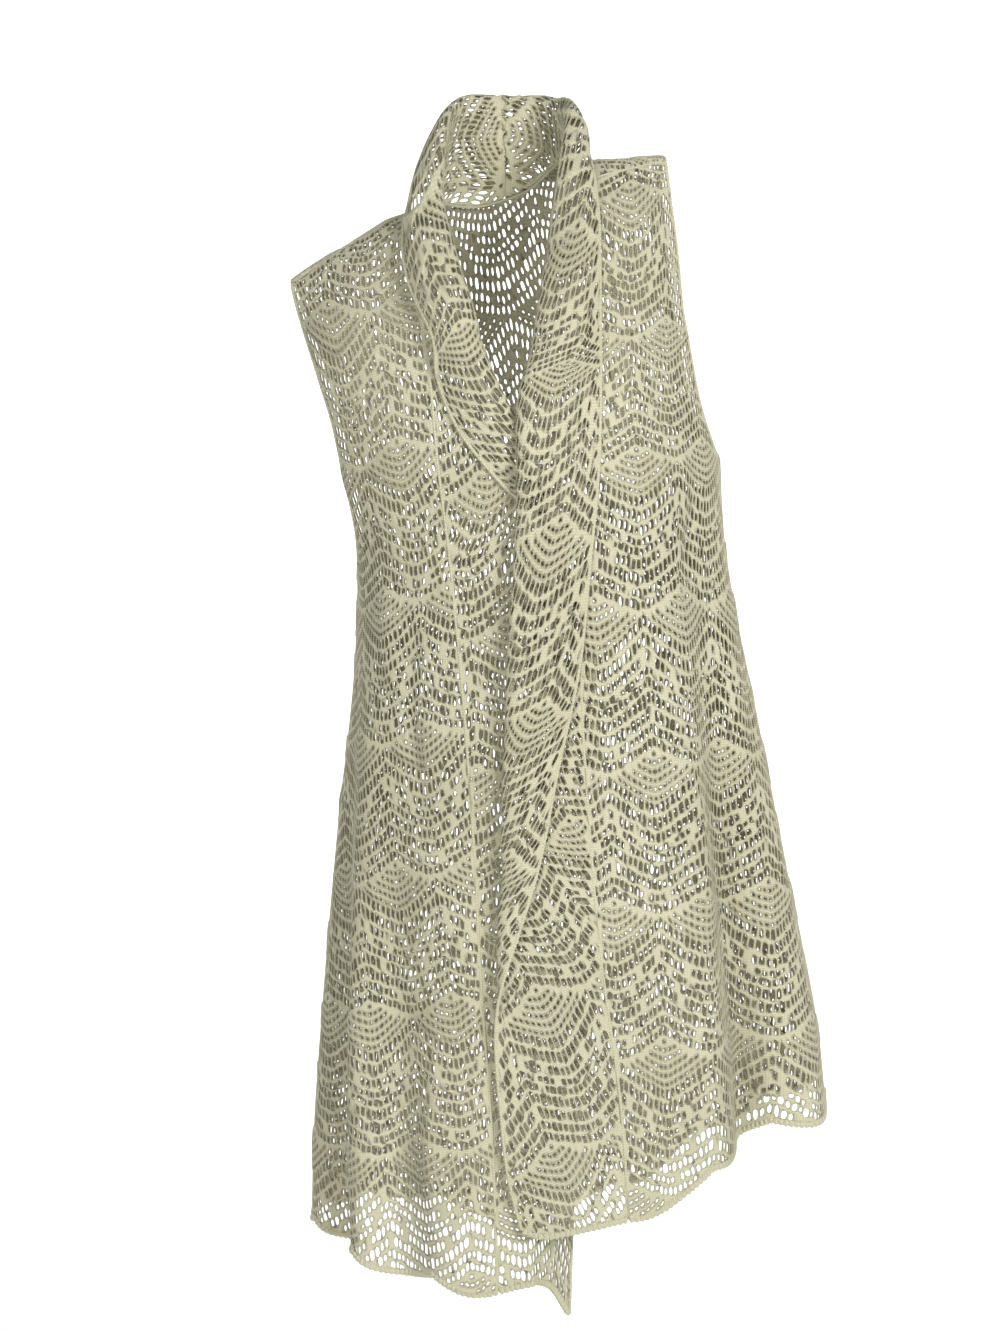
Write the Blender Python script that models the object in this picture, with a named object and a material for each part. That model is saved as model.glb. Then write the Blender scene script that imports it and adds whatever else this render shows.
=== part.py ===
"""A long sleeveless vest in openwork knit, with an open front and a soft shawl collar, as worn.

Metres, +Z up. The front faces -Y and the wearer's left is +X. The origin is at the middle of the
base of the neck, where the shoulders hold the vest up. Every panel is a wall on one worn form:
a stack of oval rings, rounded over the shoulders, that leans and tilts as the vest hangs.
A place on the form is given by its level, measured down the cloth from the neck, and by its
girth, measured round the ring from the middle of the front or back towards the wearer's left.
"""

import bpy
import numpy as np

WALL = 0.0018  # thickness of the cloth
SEAM_GAP = 0.0004  # between two panels at a seam
BAND_GAP = 0.0003  # between a band and its front
NECK_GAP = 0.0007  # between a band and the back, where the seam bends

# The worn form, one row for each level down the garment.
# lean moves a ring sideways, and tilt raises its wearer's-left end.
# Columns: level, half width, front depth, back depth, lean, tilt.
FORM = np.array(
    [
        (-0.100, 0.172, 0.088, 0.082, -0.046, 0.330),
        (0.028, 0.172, 0.088, 0.082, -0.028, 0.326),
        (0.036, 0.172, 0.088, 0.082, -0.027, 0.326),
        (0.120, 0.166, 0.110, 0.094, -0.010, 0.322),
        (0.220, 0.162, 0.125, 0.100, 0.010, 0.316),
        (0.303, 0.1605, 0.127, 0.100, 0.0262, 0.310),
        (0.367, 0.1640, 0.126, 0.102, 0.0280, 0.300),
        (0.531, 0.1885, 0.132, 0.114, 0.0350, 0.270),
        (0.674, 0.2100, 0.142, 0.128, 0.0430, 0.247),
        (0.827, 0.2310, 0.155, 0.142, 0.0525, 0.232),
        (0.900, 0.2360, 0.162, 0.150, 0.0555, 0.226),
        (1.040, 0.2500, 0.174, 0.164, 0.0630, 0.222),
    ]
)
OVAL_POWER = 2.3  # 2 is an ellipse, and more is squarer

# The shoulder line in the level garment, and how the cloth rounds over it.
NECK_HALF = 0.077  # from the middle to where the shoulder seam starts
SHOULDER_HALF = 0.1635  # from the middle to the end of the shoulder seam
SHOULDER_TOP = -0.012
SHOULDER_DROP = 0.024
SHOULDER_ROUND = 0.100  # height over which a shoulder turns into the chest
SHOULDER_PAST = 1.2  # the shoulder goes on dropping to this share of its length
OVER_SHOULDER = -0.6  # how far a face can go on over the shoulder, as a share of its round
# How far the shoulder seam lies in front of the top of the shoulder, at the neck and at its end.
SEAM_FORWARD = {"right": (0.018, 0.018), "left": (0.058, 0.022)}
NECK_POINT = {"right": -0.042, "left": 0.092}  # inner ends of the shoulder seams
BACK_NECK_DEPTH = 0.050  # the back neckline's lowest point, down the cloth from the shoulder top

# Armholes: their edge on the front and back, and their lowest point at the side seam.
ARMHOLE_LEVEL = {"right": 0.305, "left": 0.300}
ARMHOLE_CUT = {"front": 0.056, "back": 0.050}  # from the side, round the ring
ARMHOLE_ROUND = 0.075  # height of the round at the armhole's foot
ARMHOLE_DRAWN = 0.5  # share of the armhole's height over which its edge draws in from the shoulder

# Hem levels, at the middle and at the sides, and the waves of the knit along the edge.
HEM_SIDE = {"right": 0.888, "left": 0.876}
HEM_BACK = 0.985
HEM_FRONT = {"right": 0.945, "left": 0.912}
HEM_WAVE = 0.006
HEM_RISE = {"right": 1.0, "left": 1.8}  # how fast the hem rises from the middle to the side
LACE_PERIOD = 0.082

# Seven points across a band: their share of the way from the seam (0) to the fold (1) and on to
# the free edge (2), and how many rolls' radii they stand out, at the front and round the neck.
SECTION_SHARES = np.array([0.0, 0.45, 0.86, 1.0, 1.14, 1.55, 2.0])
FRONT_ROLL = np.array([0.0, 0.0, 0.0, 1.0, 2.0, 1.6, 0.0])
COLLAR_ROLL = np.array([0.0, 0.0, 0.0, 1.0, 2.0, 2.0, 0.0])
MIDDLE_GAP = 0.0007  # each band's end from the middle of the back neck
LEAN_ROOM = 1.5  # extra half walls between a band that leans over its panel and that panel

# How far the left front and its band lie outside the right ones, out to OVERLAP_GIRTH, and the
# width over which that fades towards the side. It fades in below OVERLAP_TOP down the front.
OVERLAP = 0.0075
OVERLAP_GIRTH = 0.055
OVERLAP_FADE = 0.110
OVERLAP_TOP = -0.020
OVERLAP_RISE = 0.160

# Soft folds of the hanging cloth: a row for each, with the girth that it follows at the
# armhole level and at the hem, where it starts, its depth at the hem (out is positive) and
# its half width.
# Columns: girth at the top, girth at the hem, start, depth, half width.
FRONT_FOLDS = np.array(
    [
        (0.112, 0.134, 0.300, 0.012, 0.026),
        (0.146, 0.178, 0.290, -0.056, 0.029),
        (0.190, 0.236, 0.330, 0.012, 0.028),
        (0.060, 0.082, 0.460, -0.008, 0.026),
        (-0.098, -0.104, 0.380, 0.010, 0.026),
        (-0.130, -0.153, 0.300, -0.016, 0.026),
        (-0.160, -0.198, 0.360, 0.008, 0.022),
        (-0.190, -0.238, 0.340, -0.030, 0.024),
    ]
)
BACK_FOLDS = np.array(
    [
        (-0.170, -0.225, 0.340, -0.014, 0.030),
        (-0.120, -0.160, 0.300, 0.014, 0.032),
        (-0.062, -0.088, 0.330, -0.017, 0.030),
        (-0.010, -0.016, 0.380, 0.012, 0.032),
        (0.048, 0.062, 0.300, -0.015, 0.028),
        (0.100, 0.136, 0.330, 0.015, 0.034),
        (0.158, 0.212, 0.320, -0.013, 0.028),
    ]
)
FOLD_TOP_LEVEL = 0.305
FOLD_HEM_LEVEL = 0.878
FOLD_FULL = 0.600  # a fold reaches its depth this far below its start
FOLD_LONGEST = 1.4  # and goes on growing to this many times that
FOLD_GROWTH = 1.2
FOLD_NARROW = 0.75  # its half width where it starts, as a share of the one at the hem
FOLD_WIDENING = 0.4

# The seam between a front and its band, as half widths in the level garment.
# Columns: level, right, left.
SEAMS = np.array(
    [
        (-0.055, NECK_POINT["right"], NECK_POINT["left"]),
        (-0.024, NECK_POINT["right"], NECK_POINT["left"]),
        (0.030, -0.052, 0.089),
        (0.080, -0.060, 0.081),
        (0.150, -0.063, 0.072),
        (0.220, -0.070, 0.062),
        (0.300, -0.076, 0.045),
        (0.380, -0.071, 0.034),
        (0.560, -0.066, 0.032),
        (0.680, -0.0665, 0.036),
        (0.780, -0.0655, 0.043),
        (0.950, -0.0665, 0.0475),
        (1.040, -0.0665, 0.0480),
    ]
)

# The bands, up the front. A row is a section across one band at a level: its fold, or the
# middle of a flat stretch, and its free edge, as sideways distance and distance outside the
# form, how far the free edge hangs below the level, and the radius of the roll at the fold.
# Columns: level, fold sideways, fold out, edge sideways, edge out, edge drop, roll.
BAND_RIGHT = np.array(
    [
        (0.942, -0.0360, 0.0000, -0.0080, -0.046, 0.046, 0.0000),
        (0.860, -0.0300, 0.0000, 0.0020, -0.036, 0.020, 0.0000),
        (0.760, -0.0150, 0.0000, 0.0200, -0.016, 0.005, 0.0000),
        (0.640, -0.0010, 0.0000, 0.0360, 0.000, 0.000, 0.0000),
        (0.500, 0.0020, 0.0000, 0.0420, 0.000, 0.000, 0.0000),
        (0.370, 0.0020, 0.0000, 0.0390, 0.000, 0.000, 0.0000),
        (0.325, 0.0150, 0.0000, 0.0290, 0.002, 0.000, 0.0000),
        (0.290, 0.0185, 0.0000, 0.0050, 0.0035, 0.000, 0.0012),
        (0.262, 0.0150, 0.0000, -0.0170, 0.0050, 0.000, 0.0018),
        (0.232, 0.0080, 0.0005, -0.0330, 0.0045, 0.000, 0.0030),
        (0.203, -0.0010, 0.0010, -0.0460, 0.0040, 0.000, 0.0050),
        (0.160, -0.0120, 0.0030, -0.0560, 0.0035, 0.000, 0.0065),
    ]
)
BAND_LEFT = np.array(
    [
        (0.902, -0.0150, 0.0085, -0.0430, 0.0095, -0.010, 0.0000),
        (0.840, -0.0240, 0.0085, -0.0530, 0.0090, 0.000, 0.0000),
        (0.785, -0.0310, 0.0085, -0.0560, 0.0095, 0.000, 0.0000),
        (0.745, -0.0390, 0.0085, -0.0565, 0.0120, 0.000, 0.0003),
        (0.710, -0.0460, 0.0088, -0.0540, 0.0160, 0.000, 0.0010),
        (0.675, -0.0500, 0.0090, -0.0460, 0.0195, 0.000, 0.0024),
        (0.636, -0.0485, 0.0090, -0.0310, 0.0188, 0.000, 0.0040),
        (0.590, -0.0435, 0.0090, -0.0140, 0.0165, 0.000, 0.0050),
        (0.500, -0.0370, 0.0090, 0.0100, 0.0130, 0.000, 0.0055),
        (0.420, -0.0300, 0.0090, 0.0300, 0.0120, 0.000, 0.0060),
        (0.330, -0.0240, 0.0090, 0.0400, 0.0115, 0.000, 0.0065),
        (0.250, -0.0090, 0.0090, 0.0580, 0.0110, 0.000, 0.0070),
        (0.195, 0.0030, 0.0095, 0.0700, 0.0110, 0.000, 0.0075),
    ]
)
# The bands round the neck, where they stand up and fall outwards: the distance along the seam
# from the inner end of the shoulder seam (down the front is negative), the fold and the free
# edge in place, and the radius of the roll. The last row is at the middle of the back neck.
# Columns: along, fold x, y and z, edge x, y and z, roll.
COLLAR_RIGHT = np.array(
    [
        (-0.127, -0.0290, -0.118, -0.106, -0.0650, -0.126, -0.135, 0.0075),
        (-0.077, -0.0430, -0.095, -0.062, -0.0840, -0.101, -0.092, 0.0075),
        (-0.032, -0.0520, -0.062, -0.018, -0.0900, -0.069, -0.053, 0.0065),
        (-0.012, -0.0535, -0.036, 0.017, -0.0890, -0.038, -0.032, 0.0058),
        (0.014, -0.0500, -0.006, 0.050, -0.0800, -0.002, -0.014, 0.0050),
        (0.048, -0.0400, 0.036, 0.070, -0.0630, 0.056, -0.010, 0.0055),
        (0.100, -0.0080, 0.056, 0.076, -0.0080, 0.074, -0.006, 0.0060),
    ]
)
COLLAR_LEFT = np.array(
    [
        (-0.105, 0.0190, -0.121, -0.141, 0.0770, -0.1195, -0.128, 0.0078),
        (-0.055, 0.0260, -0.102, -0.091, 0.0770, -0.1050, -0.079, 0.0075),
        (-0.010, 0.0330, -0.074, -0.044, 0.0765, -0.078, -0.029, 0.0070),
        (0.024, 0.0425, -0.042, 0.014, 0.0730, -0.044, 0.006, 0.0060),
        (0.056, 0.0490, -0.004, 0.060, 0.0670, -0.004, 0.0235, 0.0050),
        (0.092, 0.0380, 0.038, 0.072, 0.0570, 0.054, 0.006, 0.0055),
        (0.150, -0.0080, 0.056, 0.076, -0.0080, 0.074, -0.006, 0.0060),
    ]
)

ARMHOLE_ROWS = 11
ROW_CROWDING = 1.25  # how much closer the rows lie above the armhole's foot
SKIRT_ROWS = 14
FRONT_COLUMNS = 11
NECK_COLUMNS = 9  # along half of the back neckline
NECK_CROWDING = 1.4  # how much closer the columns of the neckline lie at its two ends
BAND_FRACTIONS = (0, 0.5, 1, 1.5, 2, 2.5, 3, 3.5, 4, 4.5, 5, 5.5, 6)

# How often a level that depends on itself is worked out again.
SHOULDER_PASSES = 12
HEM_PASSES = 4
NEARBY = 0.0005  # distance between the places that a normal is taken from
SHARP_ANGLE = np.radians(50)

CLOTH_COLOUR = (0.60, 0.57, 0.44, 1.0)
CLOTH_ROUGHNESS = 0.9


def smooth_rows(table, level):
    """Every column of a table at the given levels, on a smooth curve through its rows."""
    knots = table[:, 0]
    values = table[:, 1:]
    slopes = np.gradient(values, knots, axis=0)
    level = np.clip(np.asarray(level, float), knots[0], knots[-1])
    row = np.clip(np.searchsorted(knots, level, side="right") - 1, 0, len(knots) - 2)
    step = knots[row + 1] - knots[row]
    t = ((level - knots[row]) / step)[..., None]
    step = step[..., None]
    start = (2 * t**3 - 3 * t**2 + 1) * values[row] + (t**3 - 2 * t**2 + t) * step * slopes[row]
    end = (3 * t**2 - 2 * t**3) * values[row + 1] + (t**3 - t**2) * step * slopes[row + 1]
    return np.moveaxis(start + end, -1, 0)


def smooth_step(value):
    """0 up to 0, 1 from 1, and a soft rise between them."""
    t = np.clip(value, 0.0, 1.0)
    return t * t * (3 - 2 * t)


class Oval:
    """Places on quarter ovals by their share of the way round, for any ratio of the two axes."""

    def __init__(self):
        self.ratios = np.linspace(0.2, 1.4, 25)
        self.shares = np.linspace(0.0, 1.0, 97)
        angle = np.linspace(0.0, np.pi / 2, 721)
        side = np.sin(angle) ** (2 / OVAL_POWER)
        face = np.cos(angle) ** (2 / OVAL_POWER)
        self.side = np.empty((len(self.ratios), len(self.shares)))
        self.face = np.empty_like(self.side)
        self.length = np.empty(len(self.ratios))
        for i, ratio in enumerate(self.ratios):
            steps = np.hypot(np.diff(side), ratio * np.diff(face))
            run = np.concatenate([[0.0], np.cumsum(steps)])
            self.length[i] = run[-1]
            self.side[i] = np.interp(self.shares, run / run[-1], side)
            self.face[i] = np.interp(self.shares, run / run[-1], face)

    def quarter(self, half_width, depth):
        """Length of a quarter oval."""
        return half_width * np.interp(depth / half_width, self.ratios, self.length)

    def place(self, share, half_width, depth):
        """Sideways and outward distance at a share of the quarter, from the middle of a face."""
        i = (depth / half_width - self.ratios[0]) / (self.ratios[1] - self.ratios[0])
        j = np.clip(share, 0.0, 1.0) * (len(self.shares) - 1)
        low_i = np.clip(i.astype(int), 0, len(self.ratios) - 2)
        low_j = np.clip(j.astype(int), 0, len(self.shares) - 2)
        part_i = i - low_i
        part_j = j - low_j
        found = []
        for table in (self.side, self.face):
            near = table[low_i, low_j] * (1 - part_j) + table[low_i, low_j + 1] * part_j
            far = table[low_i + 1, low_j] * (1 - part_j) + table[low_i + 1, low_j + 1] * part_j
            found.append(near * (1 - part_i) + far * part_i)
        return half_width * found[0], depth * found[1]


OVAL = Oval()


def quarter_length(level, face):
    """Girth from the middle of a face to the side, at a level."""
    half_width, front_depth, back_depth, _, _ = smooth_rows(FORM, level)
    return OVAL.quarter(half_width, front_depth if face == "front" else back_depth)


def fold_depth(girth, level, face):
    """How far the soft folds push the cloth out at a place."""
    total = np.zeros_like(girth)
    for top, hem, start, depth, half_width in FRONT_FOLDS if face == "front" else BACK_FOLDS:
        down = np.clip((level - start) / FOLD_FULL, 0.0, FOLD_LONGEST)
        line = top + (hem - top) * (level - FOLD_TOP_LEVEL) / (FOLD_HEM_LEVEL - FOLD_TOP_LEVEL)
        width = half_width * (FOLD_NARROW + FOLD_WIDENING * down)
        total += depth * down**FOLD_GROWTH * np.exp(-(((girth - line) / width) ** 2))
    return total


def oval_depth(side, half_width, depth):
    """How far out an oval lies at a sideways distance."""
    return depth * (1 - np.clip(np.abs(side) / half_width, 0.0, 1.0) ** OVAL_POWER) ** (1 / OVAL_POWER)


def shoulder_top(side):
    """Height of the shoulder line at a sideways distance."""
    along = np.clip((np.abs(side) - NECK_HALF) / (SHOULDER_HALF - NECK_HALF), 0.0, SHOULDER_PAST)
    return SHOULDER_TOP - SHOULDER_DROP * along


def round_length(out):
    """Length of the cloth's quarter turn from the shoulder line to a distance out."""
    return np.pi / 2 * np.sqrt((SHOULDER_ROUND**2 + out**2) / 2)


def worn_point(girth, level, face):
    """The point of the worn form at a girth and level of the front or back."""
    girth, level = np.broadcast_arrays(np.asarray(girth, float), np.asarray(level, float))
    half_width, front_depth, back_depth, _, _ = smooth_rows(FORM, level)
    depth = front_depth if face == "front" else back_depth
    share = np.abs(girth) / OVAL.quarter(half_width, depth)
    side, out = OVAL.place(share, half_width, depth)
    side = side * np.sign(girth)
    push = fold_depth(girth, level, face)
    side = side * (1 + push / half_width * (np.abs(side) / half_width) ** 2)
    out = out + push * (1 - share**4)
    top = shoulder_top(side)
    arc = round_length(out)
    below = level + top - SHOULDER_ROUND + arc
    turn = np.clip(below / arc, OVER_SHOULDER, 1.0) * np.pi / 2
    if face == "back":
        ahead = oval_depth(side, half_width, front_depth)
        ahead_turn = np.clip(below / round_length(ahead), OVER_SHOULDER, 0.0) * np.pi / 2
        out = np.where(below < 0, ahead, out)
        turn = np.where(below < 0, ahead_turn, turn)
    rounded = below < arc
    height = np.where(rounded, top - SHOULDER_ROUND * (1 - np.cos(turn)), -level)
    out = np.where(rounded, out * np.sin(turn), out)
    y = -out if face == "front" else out
    _, _, _, lean, tilt = smooth_rows(FORM, -height)
    return np.stack([side + lean, y, height + tilt * side], axis=-1)


def shoulder_level(side, face):
    """The level at which a column of the form reaches the shoulder line."""
    level = np.zeros_like(side)
    for _ in range(SHOULDER_PASSES):
        half_width, front_depth, back_depth, _, _ = smooth_rows(FORM, level)
        depth = front_depth if face == "front" else back_depth
        arc = round_length(oval_depth(side, half_width, depth))
        level = SHOULDER_ROUND - arc - shoulder_top(side)
    return level


def seam_forward(side, hand):
    """How far in front of the top of the shoulder a column's shoulder seam lies."""
    neck, end = SEAM_FORWARD[hand]
    along = (np.abs(side) - abs(NECK_POINT[hand])) / (SHOULDER_HALF - abs(NECK_POINT[hand]))
    return neck + (end - neck) * np.clip(along, 0.0, 1.0)


def girth_of(side, level, face):
    """The girth at which a ring of the form reaches a sideways distance."""
    half_width, front_depth, back_depth, _, _ = smooth_rows(FORM, level)
    depth = front_depth if face == "front" else back_depth
    shares = np.linspace(0.0, 1.0, 201)
    level, side = np.broadcast_arrays(np.asarray(level, float), np.asarray(side, float))
    reach = OVAL.place(
        np.broadcast_to(shares, level.shape + shares.shape),
        np.broadcast_to(half_width[..., None], level.shape + shares.shape),
        np.broadcast_to(depth[..., None], level.shape + shares.shape),
    )[0]
    quarter = OVAL.quarter(half_width, depth)
    flat_reach = reach.reshape(-1, len(shares))
    flat_side = np.abs(side).reshape(-1)
    share = np.array([np.interp(s, r, shares) for s, r in zip(flat_side, flat_reach)])
    return share.reshape(side.shape) * quarter * np.sign(side)


def normals_of(points, hand):
    """Outward unit normals of a band's grid, which runs up from the hem and out from its seam."""
    across = np.gradient(points, axis=1)
    along = np.gradient(points, axis=0)
    normal = np.cross(across, along) if hand == "right" else np.cross(along, across)
    return normal / np.linalg.norm(normal, axis=-1, keepdims=True)


def seam_side(level, hand):
    """Sideways distance of the seam between a front and its band."""
    return smooth_rows(SEAMS, level)[0 if hand == "right" else 1]


def outer_girth(level, face, hand):
    """Girth of a panel's outer edge: the armhole, then the side seam."""
    foot = ARMHOLE_LEVEL[hand]
    tip = shoulder_level(np.array([SHOULDER_HALF]), face)[0]
    tip += SEAM_FORWARD[hand][1] if face == "front" else -SEAM_FORWARD[hand][1]
    quarter = quarter_length(level, face)
    tip_cut = quarter - girth_of(np.full_like(level, SHOULDER_HALF), level, face)
    drawn_in = smooth_step((level - tip) / (ARMHOLE_DRAWN * (foot - tip)))
    cut = tip_cut + (ARMHOLE_CUT[face] - tip_cut) * drawn_in
    rise = np.clip((level - foot + ARMHOLE_ROUND) / ARMHOLE_ROUND, 0.0, 1.0)
    cut = cut * np.sqrt(1 - rise**2)
    return quarter - cut - SEAM_GAP / 2


def overlap_lift(girth, level):
    """How far outside the form the left front lies, fading to its side and shoulder."""
    fade = 1 - smooth_step((np.abs(girth) - OVERLAP_GIRTH) / OVERLAP_FADE)
    return OVERLAP * fade * smooth_step((level - OVERLAP_TOP) / OVERLAP_RISE)


def form_normal(girth, level, face):
    """Outward unit normal of the form."""
    across = worn_point(girth + NEARBY, level, face) - worn_point(girth - NEARBY, level, face)
    down = worn_point(girth, level + NEARBY, face) - worn_point(girth, level - NEARBY, face)
    normal = np.cross(down, across) if face == "front" else np.cross(across, down)
    return normal / np.linalg.norm(normal, axis=-1, keepdims=True)


def lifted_point(girth, level, face, lift):
    """A point of the form moved out along the form's own normal."""
    girth, level = np.broadcast_arrays(np.asarray(girth, float), np.asarray(level, float))
    return worn_point(girth, level, face) + form_normal(girth, level, face) * np.asarray(lift)[..., None]


def panel_rows(top, foot, hem):
    """Levels of the rows down every column: closer above the armhole's foot, even below it."""
    above = 1 - (1 - np.linspace(0.0, 1.0, ARMHOLE_ROWS + 1)) ** ROW_CROWDING
    below = np.linspace(0.0, 1.0, SKIRT_ROWS + 1)[1:]
    upper = top + above[:, None] * (foot - top)
    lower = foot + below[:, None] * (hem - foot)
    return np.concatenate([upper, lower])


def hem_level(girth, face, hand):
    """Level of the hem on a front or one half of the back, with the waves the knit gives it."""
    side = HEM_SIDE[hand]
    share = np.abs(girth) / quarter_length(np.full_like(girth, side), face)
    middle = HEM_FRONT[hand] if face == "front" else HEM_BACK
    rise = HEM_RISE[hand] if face == "front" else 1.0
    wave = HEM_WAVE * (1 - 2 * np.abs(np.cos(np.pi * girth / LACE_PERIOD)))
    return side + (middle - side) * (1 - smooth_step(share * rise)) - wave


def front_girth(level, share, hand):
    """Unsigned girth on a front at a share of the way from its band seam to its outer edge."""
    inner = np.abs(girth_of(seam_side(level, hand), level, "front"))
    return inner * (1 - share) + outer_girth(level, "front", hand) * share


def front_rows(hand):
    """Levels of a front panel's rows and columns, and each column's share of the way across."""
    sides = np.linspace(abs(NECK_POINT[hand]), SHOULDER_HALF, FRONT_COLUMNS)
    top = shoulder_level(sides, "front") + seam_forward(sides, hand) + SEAM_GAP / 2
    inner = front_girth(top, 0.0, hand)
    outer = front_girth(top, 1.0, hand)
    share = (girth_of(sides, top, "front") - inner) / (outer - inner)
    share[0] = 0.0
    share[-1] = 1.0
    hem = np.full_like(share, HEM_SIDE[hand])
    for _ in range(HEM_PASSES):
        hem = hem_level(front_girth(hem, share, hand), "front", hand)
    level = panel_rows(top, ARMHOLE_LEVEL[hand], hem)
    return level, np.broadcast_to(share, level.shape)


def front_grid(hand):
    """Mid-surface and normals of a front panel, shoulder seam to hem and band seam to side."""
    level, share = front_rows(hand)
    girth = front_girth(level, share, hand) * (1.0 if hand == "left" else -1.0)
    lift = overlap_lift(girth, level) if hand == "left" else np.zeros_like(girth)
    return lifted_point(girth, level, "front", lift), form_normal(girth, level, "front")


def back_top(side):
    """How far down the cloth from the top of the shoulder the back panel starts."""
    middle = (NECK_POINT["right"] + NECK_POINT["left"]) / 2
    half = (NECK_POINT["left"] - NECK_POINT["right"]) / 2
    inside = np.clip(np.abs(side - middle) / half, 0.0, 1.0)
    forward = np.where(side < middle, seam_forward(side, "right"), seam_forward(side, "left"))
    return BACK_NECK_DEPTH * (1 - inside**3) - forward * inside**3


def back_grid():
    """Mid-surface and normals of the back panel, neck and shoulders to hem and side to side."""
    right_shoulder, left_shoulder = (
        np.linspace(abs(NECK_POINT[hand]), SHOULDER_HALF, FRONT_COLUMNS) for hand in ("right", "left")
    )
    middle = (NECK_POINT["right"] + NECK_POINT["left"]) / 2
    half = (NECK_POINT["left"] - NECK_POINT["right"]) / 2
    outward = half * (1 - (1 - np.linspace(0.0, 1.0, NECK_COLUMNS + 1)) ** NECK_CROWDING)
    neck = np.concatenate([middle - outward[::-1], middle + outward[1:]])
    sides = np.concatenate([-right_shoulder[:0:-1], neck, left_shoulder[1:]])
    top = shoulder_level(sides, "back") + back_top(sides) + SEAM_GAP / 2

    def ends(level):
        return -outer_girth(level, "back", "right"), outer_girth(level, "back", "left")

    right, left = ends(top)
    share = (girth_of(sides, top, "back") - right) / (left - right)
    hem = np.full_like(share, HEM_BACK)
    for _ in range(HEM_PASSES):
        right, left = ends(hem)
        girth = right + (left - right) * share
        hem = np.where(girth < 0, hem_level(girth, "back", "right"), hem_level(girth, "back", "left"))
    across = (sides / SHOULDER_HALF + 1) / 2
    foot = ARMHOLE_LEVEL["right"] * (1 - across) + ARMHOLE_LEVEL["left"] * across
    level = panel_rows(top, foot, hem)
    right, left = ends(level)
    girth = right + (left - right) * share
    return worn_point(girth, level, "back"), form_normal(girth, level, "back")


def add_wall(name, panel, material):
    """Make a closed wall of cloth round a mid-surface grid of points and their outward normals."""
    grid, normal = panel
    rows, columns = grid.shape[:2]
    turn = np.cross(grid[1, 1] - grid[1, 0], grid[2, 0] - grid[1, 0])
    outer = (grid + normal * WALL / 2).reshape(-1, 3)
    inner = (grid - normal * WALL / 2).reshape(-1, 3)
    vertices = np.concatenate([outer, inner])
    index = np.arange(rows * columns).reshape(rows, columns)
    quads = np.stack([index[:-1, :-1], index[:-1, 1:], index[1:, 1:], index[1:, :-1]], -1).reshape(-1, 4)
    rim = np.concatenate([index[0, :-1], index[:-1, -1], index[-1, :0:-1], index[:0:-1, 0]])
    after = np.roll(rim, -1)
    edge = np.stack([after, rim, rim + rows * columns, after + rows * columns], -1)
    faces = np.concatenate([quads, quads[:, ::-1] + rows * columns, edge])
    if np.dot(turn, normal[1, 0]) < 0:
        faces = faces[:, ::-1]
    mesh = bpy.data.meshes.new(name)
    mesh.from_pydata(vertices.tolist(), [], faces.tolist())
    mesh.materials.append(material)
    mesh.shade_smooth()
    mesh.set_sharp_from_angle(angle=SHARP_ANGLE)
    thing = bpy.data.objects.new(name, mesh)
    bpy.context.collection.objects.link(thing)
    return thing


def form_section(level, sides, outs, drops):
    """Points across the front at a level: sideways distances, distances out, and drops below it."""
    levels = level + np.asarray(drops)
    girth = girth_of(np.asarray(sides), levels, "front")
    return lifted_point(girth, levels, "front", np.asarray(outs))


def front_section(row, hand):
    """Seven points across a band on the front, which follow the form from seam to free edge."""
    level, fold_side, fold_out, edge_side, edge_out, drop, roll = row
    seam_at = float(seam_side(np.array([level]), hand)[0])
    seam_girth = girth_of(np.array([seam_at]), np.array([level]), "front")
    seam_out = float(overlap_lift(seam_girth, np.array([level]))[0]) if hand == "left" else 0.0
    share = SECTION_SHARES
    sides = np.where(
        share <= 1,
        seam_at + (fold_side - seam_at) * share,
        fold_side + (edge_side - fold_side) * (share - 1),
    )
    outs = np.where(
        share <= 1,
        seam_out + (fold_out - seam_out) * share,
        fold_out + (edge_out - fold_out) * (share - 1),
    )
    outs = outs + roll * FRONT_ROLL
    return form_section(level, sides, outs, drop * np.clip(share - 1, 0, 1) ** 2)


def collar_section(seam, row):
    """Seven points across a band where it stands round the neck and falls outwards."""
    fold = row[1:4]
    edge = row[4:7]
    roll = row[7]
    run = fold - seam
    outward = np.array([fold[0], fold[1], 0.0])
    outward = outward - run * np.dot(outward, run) / np.dot(run, run)
    outward = outward / np.linalg.norm(outward)
    share = SECTION_SHARES[:, None]
    points = np.where(share <= 1, seam + run * share, fold + (edge - fold) * (share - 1))
    return points + outward * (roll * COLLAR_ROLL)[:, None]


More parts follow.
